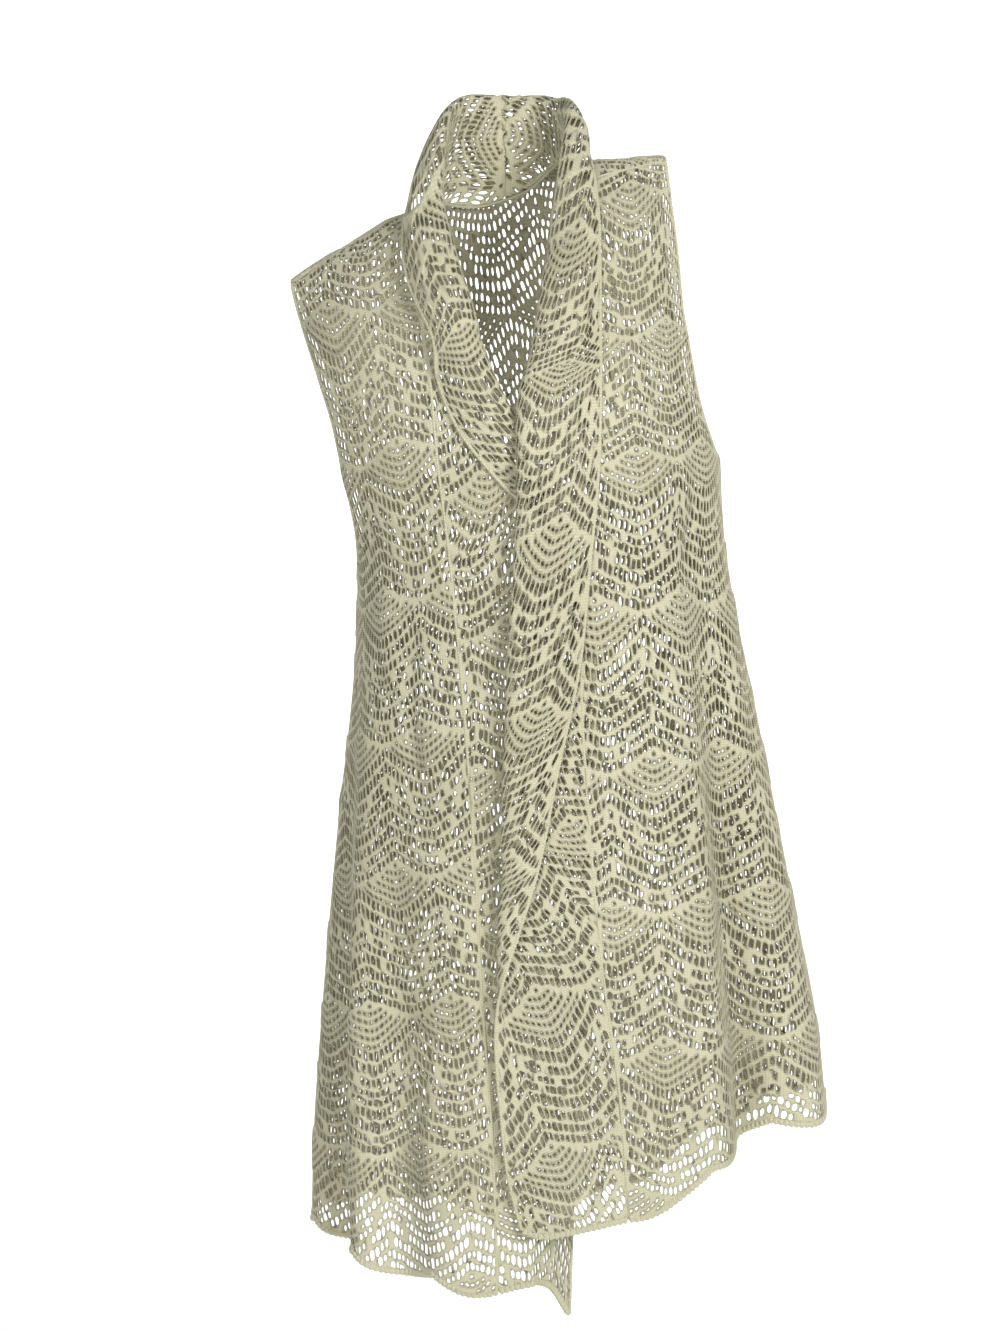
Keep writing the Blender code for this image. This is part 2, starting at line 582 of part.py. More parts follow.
def band_grid(hand, front, back):
    """Mid-surface and normals of a band, from the hem up to the middle of the back neck.

    Its rows meet the points of the two panels it is sewn to, and its sections are joined by
    smooth curves along and across.
    """
    middle = FRONT_COLUMNS - 1 + NECK_COLUMNS
    step = 1 if hand == "right" else -1
    neck = middle - step * np.arange(NECK_COLUMNS - 1, -1, -1)
    edge, facing = (np.concatenate([front[i][::-1, 0], back[i][0, neck]]) for i in range(2))
    inward = np.concatenate([front[0][::-1, 1], back[0][1, neck]]) - edge
    run = np.concatenate([[0.0], np.cumsum(np.linalg.norm(np.diff(edge, axis=0), axis=1))])

    levels = front_rows(hand)[0][::-1, 0]
    rows = BAND_RIGHT if hand == "right" else BAND_LEFT
    sections = [front_section(row, hand) for row in rows]
    places = list(np.interp(-rows[:, 0], -levels, run[: len(levels)]))
    for row in COLLAR_RIGHT if hand == "right" else COLLAR_LEFT:
        place = min(run[len(levels) - 1] + row[0], run[-1])
        seam = np.array([np.interp(place, run, edge[:, axis]) for axis in range(3)])
        sections.append(collar_section(seam, row))
        places.append(place)

    table = np.concatenate([np.array(places)[:, None], np.array(sections).reshape(len(places), -1)], 1)
    ribs = np.moveaxis(smooth_rows(table, run), 0, -1).reshape(len(run), 7, 3)
    ribs[:, 0] = edge
    table = np.concatenate([np.arange(7.0)[:, None], ribs.transpose(1, 0, 2).reshape(7, -1)], axis=1)
    across = np.array(BAND_FRACTIONS, float)
    grid = np.moveaxis(smooth_rows(table, across), 0, -1).reshape(len(across), len(run), 3)
    grid = grid.transpose(1, 0, 2)
    grid[-1, :, 0] = edge[-1, 0] - step * MIDDLE_GAP
    seam_way = np.gradient(edge, axis=0)
    seam_way /= np.linalg.norm(seam_way, axis=1, keepdims=True)
    away = grid[:, 1] - grid[:, 0]
    away -= seam_way * np.sum(away * seam_way, axis=1, keepdims=True)
    away /= np.linalg.norm(away, axis=1, keepdims=True)
    inward /= np.linalg.norm(inward, axis=1, keepdims=True)
    turned = np.sqrt(np.abs(np.sum(away * facing, axis=1)))
    leaning = np.clip(np.sum(away * inward, axis=1), 0.0, 1.0)
    gap = np.where(np.arange(len(edge)) < len(levels) - 2, BAND_GAP, NECK_GAP)
    grid[:, 0] += away * (gap + WALL / 2 * (turned + LEAN_ROOM * leaning))[:, None]
    return grid, normals_of(grid, hand)


def cloth_material():
    """Matte cotton in a pale sage."""
    material = bpy.data.materials.new("cotton_knit")
    material.use_nodes = True
    shader = material.node_tree.nodes["Principled BSDF"]
    shader.inputs["Base Color"].default_value = CLOTH_COLOUR
    shader.inputs["Roughness"].default_value = CLOTH_ROUGHNESS
    shader.inputs["Metallic"].default_value = 0.0
    return material


def main():
    """Build the five panels."""
    for thing in list(bpy.data.objects):
        bpy.data.objects.remove(thing)
    cotton = cloth_material()
    back = back_grid()
    add_wall("back", back, cotton)
    for hand in ("right", "left"):
        front = front_grid(hand)
        add_wall("front_" + hand, front, cotton)
        add_wall("band_" + hand, band_grid(hand, front, back), cotton)


main()
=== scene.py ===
"""Looks of a long sleeveless vest in openwork knit, with an open front and a soft shawl collar.

Metres, +Z up. The front faces -Y and the wearer's left is +X. Every panel is a thin knitted wall
on one worn form. A place on the form has a girth, measured round from the middle of the front or
back towards the wearer's left, and a level, measured down the cloth from the neck. The lace is a
chart of small cells: its two coordinates are metres across and metres down the knitting, and each
panel says how the chart lies on it.
"""

import logging
import math
from dataclasses import dataclass, field
from enum import Enum

import bpy
import numpy as np
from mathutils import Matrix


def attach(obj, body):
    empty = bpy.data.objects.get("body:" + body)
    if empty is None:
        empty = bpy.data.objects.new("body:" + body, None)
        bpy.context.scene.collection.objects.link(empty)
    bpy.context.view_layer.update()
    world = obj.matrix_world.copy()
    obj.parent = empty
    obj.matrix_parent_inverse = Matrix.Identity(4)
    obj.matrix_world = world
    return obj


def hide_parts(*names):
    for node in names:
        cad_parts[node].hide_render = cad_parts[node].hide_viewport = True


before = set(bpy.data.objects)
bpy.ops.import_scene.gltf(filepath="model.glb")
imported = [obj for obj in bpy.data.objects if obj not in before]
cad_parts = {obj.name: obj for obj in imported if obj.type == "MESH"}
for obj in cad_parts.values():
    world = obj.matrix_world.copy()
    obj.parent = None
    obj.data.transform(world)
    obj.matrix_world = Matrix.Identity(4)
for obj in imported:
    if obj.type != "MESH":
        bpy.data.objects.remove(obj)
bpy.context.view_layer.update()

log = logging.getLogger("vest")

Array = np.ndarray


class Face(Enum):
    """The two faces of the worn form."""

    FRONT = "front"
    BACK = "back"


class Hand(Enum):
    """The wearer's right or left, with the sign of its girth."""

    RIGHT = -1
    LEFT = 1


def smooth_rows(table: Array, level: Array) -> Array:
    """Every column of a table at the given levels, on a smooth curve through its rows.

    Between two rows the value is a cubic whose slopes at both rows are the mean slopes there.

    Args:
        table: rows of a level followed by values, with rising levels.
        level: levels to look up.

    Returns:
        One array per value column, each shaped like level.
    """
    knots = table[:, 0]
    values = table[:, 1:]
    slopes = np.gradient(values, knots, axis=0)
    level = np.clip(np.asarray(level, float), knots[0], knots[-1])
    row = np.clip(np.searchsorted(knots, level, side="right") - 1, 0, len(knots) - 2)
    step = knots[row + 1] - knots[row]
    t = ((level - knots[row]) / step)[..., None]
    step = step[..., None]
    start = (2 * t**3 - 3 * t**2 + 1) * values[row] + (t**3 - 2 * t**2 + t) * step * slopes[row]
    end = (3 * t**2 - 2 * t**3) * values[row + 1] + (t**3 - t**2) * step * slopes[row + 1]
    return np.moveaxis(start + end, -1, 0)


def smooth_step(value: Array) -> Array:
    """0 up to 0, 1 from 1, and the soft rise 3t^2 - 2t^3 between them."""
    t = np.clip(value, 0.0, 1.0)
    return t * t * (3 - 2 * t)


def unit(vectors: Array) -> Array:
    """The same directions, one long."""
    return vectors / np.maximum(np.linalg.norm(vectors, axis=-1, keepdims=True), 1e-12)


def run_along(points: Array) -> Array:
    """Distance from the first point of a path to each of its points."""
    return np.concatenate([[0.0], np.cumsum(np.linalg.norm(np.diff(points, axis=0), axis=1))])


def along(at: Array, run: Array, points: Array) -> Array:
    """Points of a path at the given distances along it."""
    return np.stack([np.interp(at, run, points[:, axis]) for axis in range(3)], -1)


def between(table: Array, row: Array, column: Array) -> Array:
    """Entries of a grid at places between its rows and columns, mixed from the four nearest.

    Args:
        table: grid of numbers or of points.
        row: rows, which may be fractions.
        column: columns, which may be fractions.

    Returns:
        One entry for each place.
    """
    i = np.clip(row.astype(int), 0, table.shape[0] - 2)
    j = np.clip(column.astype(int), 0, table.shape[1] - 2)
    down, across = row - i, column - j
    if table.ndim > 2:
        down, across = down[..., None], across[..., None]
    near = table[i, j] * (1 - across) + table[i, j + 1] * across
    far = table[i + 1, j] * (1 - across) + table[i + 1, j + 1] * across
    return near * (1 - down) + far * down


# The worn form by level: half width, front depth, back depth, lean and tilt.
FORM = np.array([
    (-0.100, 0.172, 0.088, 0.082, -0.046, 0.330),
    (0.028, 0.172, 0.088, 0.082, -0.028, 0.326),
    (0.036, 0.172, 0.088, 0.082, -0.027, 0.326),
    (0.120, 0.166, 0.110, 0.094, -0.010, 0.322),
    (0.220, 0.162, 0.125, 0.100, 0.010, 0.316),
    (0.303, 0.1605, 0.127, 0.100, 0.0262, 0.310),
    (0.367, 0.1640, 0.126, 0.102, 0.0280, 0.300),
    (0.531, 0.1885, 0.132, 0.114, 0.0350, 0.270),
    (0.674, 0.2100, 0.142, 0.128, 0.0430, 0.247),
    (0.827, 0.2310, 0.155, 0.142, 0.0525, 0.232),
    (0.900, 0.2360, 0.162, 0.150, 0.0555, 0.226),
    (1.040, 0.2500, 0.174, 0.164, 0.0630, 0.222),
])
# Long soft folds: girth at the armhole level, girth at the hem, start, depth and half width.
FOLDS = {
    Face.FRONT: np.array([
        (0.112, 0.134, 0.300, 0.012, 0.026),
        (0.146, 0.178, 0.290, -0.056, 0.029),
        (0.190, 0.236, 0.330, 0.012, 0.028),
        (0.060, 0.082, 0.460, -0.008, 0.026),
        (-0.098, -0.104, 0.380, 0.010, 0.026),
        (-0.130, -0.153, 0.300, -0.016, 0.026),
        (-0.160, -0.198, 0.360, 0.008, 0.022),
        (-0.190, -0.238, 0.340, -0.030, 0.024),
    ]),
    Face.BACK: np.array([
        (-0.170, -0.225, 0.340, -0.014, 0.030),
        (-0.120, -0.160, 0.300, 0.014, 0.032),
        (-0.062, -0.088, 0.330, -0.017, 0.030),
        (-0.010, -0.016, 0.380, 0.012, 0.032),
        (0.048, 0.062, 0.300, -0.015, 0.028),
        (0.100, 0.136, 0.330, 0.015, 0.034),
        (0.158, 0.212, 0.320, -0.013, 0.028),
    ]),
}
# The seam between a front and its band by level: right and left half widths.
SEAMS = np.array([
    (-0.055, -0.042, 0.092),
    (-0.024, -0.042, 0.092),
    (0.030, -0.052, 0.089),
    (0.080, -0.060, 0.081),
    (0.150, -0.063, 0.072),
    (0.220, -0.070, 0.062),
    (0.300, -0.076, 0.045),
    (0.380, -0.071, 0.034),
    (0.560, -0.066, 0.032),
    (0.680, -0.0665, 0.036),
    (0.780, -0.0655, 0.043),
    (0.950, -0.0665, 0.0475),
    (1.040, -0.0665, 0.0480),
])
# Sections across each band up the front: level, fold sideways and out, free edge sideways and
# out, how far the edge hangs below the level, and the roll's radius.
BAND_SECTIONS = {
    Hand.RIGHT: np.array([
        (0.942, -0.0360, 0.0000, -0.0080, -0.046, 0.046, 0.0000),
        (0.860, -0.0300, 0.0000, 0.0020, -0.036, 0.020, 0.0000),
        (0.760, -0.0150, 0.0000, 0.0200, -0.016, 0.005, 0.0000),
        (0.640, -0.0010, 0.0000, 0.0360, 0.000, 0.000, 0.0000),
        (0.500, 0.0020, 0.0000, 0.0420, 0.000, 0.000, 0.0000),
        (0.370, 0.0020, 0.0000, 0.0390, 0.000, 0.000, 0.0000),
        (0.325, 0.0150, 0.0000, 0.0290, 0.002, 0.000, 0.0000),
        (0.290, 0.0185, 0.0000, 0.0050, 0.0035, 0.000, 0.0012),
        (0.262, 0.0150, 0.0000, -0.0170, 0.0050, 0.000, 0.0018),
        (0.232, 0.0080, 0.0005, -0.0330, 0.0045, 0.000, 0.0030),
        (0.203, -0.0010, 0.0010, -0.0460, 0.0040, 0.000, 0.0050),
        (0.160, -0.0120, 0.0030, -0.0560, 0.0035, 0.000, 0.0065),
    ]),
    Hand.LEFT: np.array([
        (0.902, -0.0150, 0.0085, -0.0430, 0.0095, -0.010, 0.0000),
        (0.840, -0.0240, 0.0085, -0.0530, 0.0090, 0.000, 0.0000),
        (0.785, -0.0310, 0.0085, -0.0560, 0.0095, 0.000, 0.0000),
        (0.745, -0.0390, 0.0085, -0.0565, 0.0120, 0.000, 0.0003),
        (0.710, -0.0460, 0.0088, -0.0540, 0.0160, 0.000, 0.0010),
        (0.675, -0.0500, 0.0090, -0.0460, 0.0195, 0.000, 0.0024),
        (0.636, -0.0485, 0.0090, -0.0310, 0.0188, 0.000, 0.0040),
        (0.590, -0.0435, 0.0090, -0.0140, 0.0165, 0.000, 0.0050),
        (0.500, -0.0370, 0.0090, 0.0100, 0.0130, 0.000, 0.0055),
        (0.420, -0.0300, 0.0090, 0.0300, 0.0120, 0.000, 0.0060),
        (0.330, -0.0240, 0.0090, 0.0400, 0.0115, 0.000, 0.0065),
        (0.250, -0.0090, 0.0090, 0.0580, 0.0110, 0.000, 0.0070),
        (0.195, 0.0030, 0.0095, 0.0700, 0.0110, 0.000, 0.0075),
    ]),
}
# The bands round the neck: distance along the seam, fold x y z, free edge x y z, roll's radius.
COLLAR_SECTIONS = {
    Hand.RIGHT: np.array([
        (-0.127, -0.0290, -0.118, -0.106, -0.0650, -0.126, -0.135, 0.0075),
        (-0.077, -0.0430, -0.095, -0.062, -0.0840, -0.101, -0.092, 0.0075),
        (-0.032, -0.0520, -0.062, -0.018, -0.0900, -0.069, -0.053, 0.0065),
        (-0.012, -0.0535, -0.036, 0.017, -0.0890, -0.038, -0.032, 0.0058),
        (0.014, -0.0500, -0.006, 0.050, -0.0800, -0.002, -0.014, 0.0050),
        (0.048, -0.0400, 0.036, 0.070, -0.0630, 0.056, -0.010, 0.0055),
        (0.100, -0.0080, 0.056, 0.076, -0.0080, 0.074, -0.006, 0.0060),
    ]),
    Hand.LEFT: np.array([
        (-0.105, 0.0190, -0.121, -0.141, 0.0770, -0.1195, -0.128, 0.0078),
        (-0.055, 0.0260, -0.102, -0.091, 0.0770, -0.1050, -0.079, 0.0075),
        (-0.010, 0.0330, -0.074, -0.044, 0.0765, -0.078, -0.029, 0.0070),
        (0.024, 0.0425, -0.042, 0.014, 0.0730, -0.044, 0.006, 0.0060),
        (0.056, 0.0490, -0.004, 0.060, 0.0670, -0.004, 0.0235, 0.0050),
        (0.092, 0.0380, 0.038, 0.072, 0.0570, 0.054, 0.006, 0.0055),
        (0.150, -0.0080, 0.056, 0.076, -0.0080, 0.074, -0.006, 0.0060),
    ]),
}
# How far in front of the shoulder line each shoulder seam lies, at the neck and at its end.
SEAM_FORWARD = {Hand.RIGHT: (0.018, 0.018), Hand.LEFT: (0.058, 0.022)}
NECK_POINT = {Hand.RIGHT: -0.042, Hand.LEFT: 0.092}
ARMHOLE_LEVEL = {Hand.RIGHT: 0.305, Hand.LEFT: 0.300}
ARMHOLE_CUT = {Face.FRONT: 0.056, Face.BACK: 0.050}
HEM_SIDE = {Hand.RIGHT: 0.888, Hand.LEFT: 0.876}
HEM_FRONT = {Hand.RIGHT: 0.945, Hand.LEFT: 0.912}
HEM_RISE = {Hand.RIGHT: 1.0, Hand.LEFT: 1.8}
HEM_BACK = 0.985
HEM_WAVE = 0.006
HEM_PERIOD = 0.082

# Seven points across a band: their share of the way from the seam (0) to the fold (1) and on to
# the free edge (2), and how many rolls' radii they stand out, at the front and round the neck.
SECTION_SHARES = np.array([0.0, 0.45, 0.86, 1.0, 1.14, 1.55, 2.0])
FRONT_ROLL = np.array([0.0, 0.0, 0.0, 1.0, 2.0, 1.6, 0.0])
COLLAR_ROLL = np.array([0.0, 0.0, 0.0, 1.0, 2.0, 2.0, 0.0])
BAND_LEAN = {Hand.RIGHT: 0.03, Hand.LEFT: 0.29}
BAND_TILT = {Hand.RIGHT: 0.0, Hand.LEFT: 0.20}
# How the chart lies on each band: level, chart metres down, and the fans' line across the band.
BAND_LIE = {
    Hand.RIGHT: np.array([(0.127, 0.0, 0.70), (0.252, 0.125, 0.66), (0.377, 0.250, 0.5), (0.90, 0.773, 0.5)]),
    Hand.LEFT: np.array([
        (0.172, 0.0, 0.74), (0.301, 0.125, 0.74), (0.444, 0.250, 0.74), (0.557, 0.375, 0.68),
        (0.670, 0.500, 0.5), (0.799, 0.625, 0.5),
    ]),
}
# Room above a panel's top and below its hem, the levels of the outlines' tables, their reach past
# the shoulder's end and the greatest girth of the hem's table, all in metres.
HEAD_ROOM, FOOT_ROOM = 0.02, 0.01
OUTLINE_LEVELS = np.linspace(-0.20, 1.06, 640)
SHOULDER_SPARE = 0.01
WIDEST_HEM = 0.40


@dataclass
class Oval:
    """Quarter ovals |x/a|^p + |y/b|^p = 1, measured by their share of the way round."""

    power: float = 2.3
    steps: int = 721
    ratios: Array = field(default_factory=lambda: np.linspace(0.2, 1.4, 25))
    shares: Array = field(default_factory=lambda: np.linspace(0.0, 1.0, 97))

    def __post_init__(self) -> None:
        """Tabulate length, sideways and outward reach for each ratio of the two axes.

        A point at angle t is (sin t)^(2/p), (cos t)^(2/p), and its share is the run of the
        curve up to it over the whole run.
        """
        angle = np.linspace(0.0, np.pi / 2, self.steps)
        side = np.sin(angle) ** (2 / self.power)
        face = np.cos(angle) ** (2 / self.power)
        self.side = np.empty((len(self.ratios), len(self.shares)))
        self.face = np.empty_like(self.side)
        self.length = np.empty(len(self.ratios))
        for i, ratio in enumerate(self.ratios):
            run = np.concatenate([[0.0], np.cumsum(np.hypot(np.diff(side), ratio * np.diff(face)))])
            self.length[i] = run[-1]
            self.side[i] = np.interp(self.shares, run / run[-1], side)
            self.face[i] = np.interp(self.shares, run / run[-1], face)

    def quarter(self, half_width: Array, depth: Array) -> Array:
        """Length of a quarter oval of those two axes."""
        return half_width * np.interp(depth / half_width, self.ratios, self.length)

    def place(self, share: Array, half_width: Array, depth: Array) -> tuple[Array, Array]:
        """Sideways and outward reach at a share of the quarter, 0 at the face and 1 at the side."""
        row = (depth / half_width - self.ratios[0]) / (self.ratios[1] - self.ratios[0])
        column = np.clip(share, 0.0, 1.0) * (len(self.shares) - 1)
        return half_width * between(self.side, row, column), depth * between(self.face, row, column)


@dataclass
class WornForm:
    """The body of air that the vest is worn on: stacked ovals, rounded over the shoulders.

    The shoulder numbers are distances in the level garment; the tables give each ring's size,
    lean and tilt, and the long soft folds of the hanging cloth.
    """

    neck_half: float = 0.077
    shoulder_half: float = 0.1635
    shoulder_top: float = -0.012
    shoulder_drop: float = 0.024
    shoulder_round: float = 0.100
    shoulder_past: float = 1.2
    over_shoulder: float = -0.6
    back_neck_depth: float = 0.050
    seam_gap: float = 0.0004
    fold_top_level: float = 0.305
    fold_hem_level: float = 0.878
    fold_full: float = 0.600
    fold_longest: float = 1.4
    fold_growth: float = 1.2
    fold_narrow: float = 0.75
    fold_widening: float = 0.4
    armhole_round: float = 0.075
    armhole_drawn: float = 0.5
    overlap: float = 0.0075
    overlap_girth: float = 0.055
    overlap_fade: float = 0.110
    overlap_top: float = -0.020
    overlap_rise: float = 0.160
    nearby: float = 0.0005
    passes: int = 12
    samples: int = 201
    oval: Oval = field(default_factory=Oval)

    def ring(self, level: Array, face: Face) -> tuple[Array, Array]:
        """Half width and outward depth of a face's ring at a level."""
        half_width, front, back, _, _ = smooth_rows(FORM, level)
        return half_width, front if face is Face.FRONT else back

    def quarter(self, level: Array, face: Face) -> Array:
        """Girth from the middle of a face to the side."""
        return self.oval.quarter(*self.ring(level, face))

    def fold_depth(self, girth: Array, level: Array, face: Face) -> Array:
        """How far the long folds push the cloth out: a sum of bell curves across slanting lines.

        Each one deepens with the distance below its start and widens as it goes.

        Args:
            girth: places round the ring.
            level: places down the cloth.
            face: the face they are on.

        Returns:
            Distance out, which is negative in a trough.
        """
        total = np.zeros_like(girth)
        span = self.fold_hem_level - self.fold_top_level
        for top, hem, start, depth, half_width in FOLDS[face]:
            down = np.clip((level - start) / self.fold_full, 0.0, self.fold_longest)
            line = top + (hem - top) * (level - self.fold_top_level) / span
            width = half_width * (self.fold_narrow + self.fold_widening * down)
            total += depth * down**self.fold_growth * np.exp(-(((girth - line) / width) ** 2))
        return total

    def oval_depth(self, side: Array, half_width: Array, depth: Array) -> Array:
        """How far out an oval lies at a sideways distance: depth (1 - |side/width|^p)^(1/p)."""
        power = self.oval.power
        return depth * (1 - np.clip(np.abs(side) / half_width, 0.0, 1.0) ** power) ** (1 / power)

    def shoulder_height(self, side: Array) -> Array:
        """Height of the shoulder line, a straight drop from the neck outwards."""
        along = (np.abs(side) - self.neck_half) / (self.shoulder_half - self.neck_half)
        return self.shoulder_top - self.shoulder_drop * np.clip(along, 0.0, self.shoulder_past)

    def round_length(self, out: Array) -> Array:
        """Length of the quarter turn over a shoulder, as of a circle of the two radii's mean square."""
        return np.pi / 2 * np.sqrt((self.shoulder_round**2 + out**2) / 2)

    def point(self, girth: Array, level: Array, face: Face) -> Array:
        """The place in space of a girth and level.

        Below the shoulder it is the oval's point plus the folds. Above it the outward distance
        and the height turn together through a quarter circle over the shoulder line.

        Args:
            girth: places round the ring.
            level: places down the cloth.
            face: the face they are on.

        Returns:
            Points, with x, y and z last.
        """
        girth, level = np.broadcast_arrays(np.asarray(girth, float), np.asarray(level, float))
        half_width, front_depth, back_depth, _, _ = smooth_rows(FORM, level)
        depth = front_depth if face is Face.FRONT else back_depth
        share = np.abs(girth) / self.oval.quarter(half_width, depth)
        side, out = self.oval.place(share, half_width, depth)
        side = side * np.sign(girth)
        push = self.fold_depth(girth, level, face)
        side = side * (1 + push / half_width * (np.abs(side) / half_width) ** 2)
        out = out + push * (1 - share**4)
        top = self.shoulder_height(side)
        arc = self.round_length(out)
        below = level + top - self.shoulder_round + arc
        turn = np.clip(below / arc, self.over_shoulder, 1.0) * np.pi / 2
        if face is Face.BACK:
            ahead = self.oval_depth(side, half_width, front_depth)
            ahead_turn = np.clip(below / self.round_length(ahead), self.over_shoulder, 0.0) * np.pi / 2
            out = np.where(below < 0, ahead, out)
            turn = np.where(below < 0, ahead_turn, turn)
        rounded = below < arc
        height = np.where(rounded, top - self.shoulder_round * (1 - np.cos(turn)), -level)
        out = np.where(rounded, out * np.sin(turn), out)
        _, _, _, lean, tilt = smooth_rows(FORM, -height)
        return np.stack([side + lean, -out if face is Face.FRONT else out, height + tilt * side], axis=-1)

    def normal(self, girth: Array, level: Array, face: Face) -> Array:
        """Outward unit normal: the cross product of two short steps across and down."""
        near = self.nearby
        across = self.point(girth + near, level, face) - self.point(girth - near, level, face)
        down = self.point(girth, level + near, face) - self.point(girth, level - near, face)
        return unit(np.cross(down, across) if face is Face.FRONT else np.cross(across, down))

    def lift(self, girth: Array, level: Array) -> Array:
        """How far out the wearer's-left front lies over the other, fading to side and shoulder."""
        fade = 1 - smooth_step((np.abs(girth) - self.overlap_girth) / self.overlap_fade)
        return self.overlap * fade * smooth_step((level - self.overlap_top) / self.overlap_rise)

    def shoulder_level(self, side: Array, face: Face) -> Array:
        """The level at which a column reaches the shoulder line, found by repeating the rule."""
        level = np.zeros_like(side)
        for _ in range(self.passes):
            half_width, depth = self.ring(level, face)
            arc = self.round_length(self.oval_depth(side, half_width, depth))
            level = self.shoulder_round - arc - self.shoulder_height(side)
        return level

    def seam_forward(self, side: Array, hand: Hand) -> Array:
        """How far in front of the shoulder line the shoulder seam lies."""
        neck, end = SEAM_FORWARD[hand]
        inner = abs(NECK_POINT[hand])
        along = (np.abs(side) - inner) / (self.shoulder_half - inner)
        return neck + (end - neck) * np.clip(along, 0.0, 1.0)

    def girth_of(self, side: Array, level: Array, face: Face) -> Array:
        """The girth at which a ring reaches a sideways distance, by reading its reach backwards.

        Args:
            side: sideways distances in the level garment.
            level: levels of the rings.
            face: the face they are on.

        Returns:
            Girths with the sign of side.
        """
        level, side = np.broadcast_arrays(np.asarray(level, float), np.asarray(side, float))
        half_width, depth = self.ring(level, face)
        shares = np.linspace(0.0, 1.0, self.samples)
        shape = level.shape + shares.shape
        reach = self.oval.place(
            np.broadcast_to(shares, shape),
            np.broadcast_to(half_width[..., None], shape),
            np.broadcast_to(depth[..., None], shape),
        )[0].reshape(-1, len(shares))
        share = [np.interp(s, r, shares) for s, r in zip(np.abs(side).reshape(-1), reach)]
        return np.array(share).reshape(side.shape) * self.oval.quarter(half_width, depth) * np.sign(side)

    def outer_girth(self, level: Array, face: Face, hand: Hand) -> Array:
        """Girth of a panel's outer edge: the armhole's curve, then the side seam.

        Args:
            level: levels down the edge.
            face: the panel's face.
            hand: its side.

        Returns:
            Unsigned girths.
        """
        foot = ARMHOLE_LEVEL[hand]
        ahead = SEAM_FORWARD[hand][1]
        tip = self.shoulder_level(np.array([self.shoulder_half]), face)[0]
        tip += ahead if face is Face.FRONT else -ahead
        quarter = self.quarter(level, face)
        tip_cut = quarter - self.girth_of(np.full_like(level, self.shoulder_half), level, face)
        drawn_in = smooth_step((level - tip) / (self.armhole_drawn * (foot - tip)))
        cut = tip_cut + (ARMHOLE_CUT[face] - tip_cut) * drawn_in
        rise = np.clip((level - foot + self.armhole_round) / self.armhole_round, 0.0, 1.0)
        return quarter - cut * np.sqrt(1 - rise**2) - self.seam_gap / 2

    def hem_level(self, girth: Array, face: Face, hand: Hand) -> Array:
        """Level of the hem: a soft rise from the middle to the side, less the knit's small waves.

        Args:
            girth: places along the hem.
            face: the panel's face.
            hand: its side.

        Returns:
            Levels.
        """
        side = HEM_SIDE[hand]
        share = np.abs(girth) / self.quarter(np.full_like(girth, side), face)
        front = face is Face.FRONT
        middle = HEM_FRONT[hand] if front else HEM_BACK
        rise = HEM_RISE[hand] if front else 1.0
        wave = HEM_WAVE * (1 - 2 * np.abs(np.cos(np.pi * girth / HEM_PERIOD)))
        return side + (middle - side) * (1 - smooth_step(share * rise)) - wave


class Hole(Enum):
    """An opening in one cell of the lace, by its mark in the chart."""

    LONG = "|"
    SHORT = "i"
    WIDE = "O"
    ROUND = "o"
    EYELET = "e"
    NONE = "."


# Outlines of the holes, as points from the cell's middle in shares of its width and height.
EIGHT = np.array([(-0.8, -0.76), (0, -1), (0.8, -0.76), (1, 0), (0.8, 0.76), (0, 1), (-0.8, 0.76), (-1, 0)])
SIX = np.array([(0, -1), (0.92, -0.5), (0.92, 0.5), (0, 1), (-0.92, 0.5), (-0.92, -0.5)])
FOUR = np.array([(0, -1), (1, 0), (0, 1), (-1, 0)])
HOLE_RINGS = {
    Hole.LONG: SIX * (0.33, 0.48),
    Hole.WIDE: EIGHT * (0.43, 0.48),
    Hole.SHORT: SIX * (0.30, 0.38),
    Hole.ROUND: SIX * (0.40, 0.40),
    Hole.EYELET: FOUR * (0.38, 0.20),
}
# How each hole's ring joins the cell's six outer points. 0 to 5 are the top left corner, the top
# middle, the top right, the bottom right, the bottom middle and the bottom left. The ring's
# points follow from 6.
JOIN_EIGHT = [
    (0, 1, 7), (0, 7, 6), (1, 2, 8), (1, 8, 7), (2, 9, 8), (2, 3, 9), (3, 10, 9),
    (3, 4, 11), (3, 11, 10), (4, 5, 12), (4, 12, 11), (5, 13, 12), (5, 0, 13), (0, 6, 13),
]
JOIN_SIX = [
    (0, 1, 6), (0, 6, 11), (1, 2, 7), (1, 7, 6), (2, 3, 8), (2, 8, 7),
    (3, 4, 9), (3, 9, 8), (4, 5, 10), (4, 10, 9), (5, 0, 11), (5, 11, 10),
]
JOIN_FOUR = [
    (0, 1, 6), (1, 2, 6), (2, 7, 6), (2, 3, 7), (3, 8, 7),
    (3, 4, 8), (4, 5, 8), (5, 9, 8), (5, 0, 9), (0, 6, 9),
]
JOIN_NONE = [(0, 1, 4), (0, 4, 5), (1, 2, 3), (1, 3, 4)]
JOINS = {8: JOIN_EIGHT, 6: JOIN_SIX, 4: JOIN_FOUR}


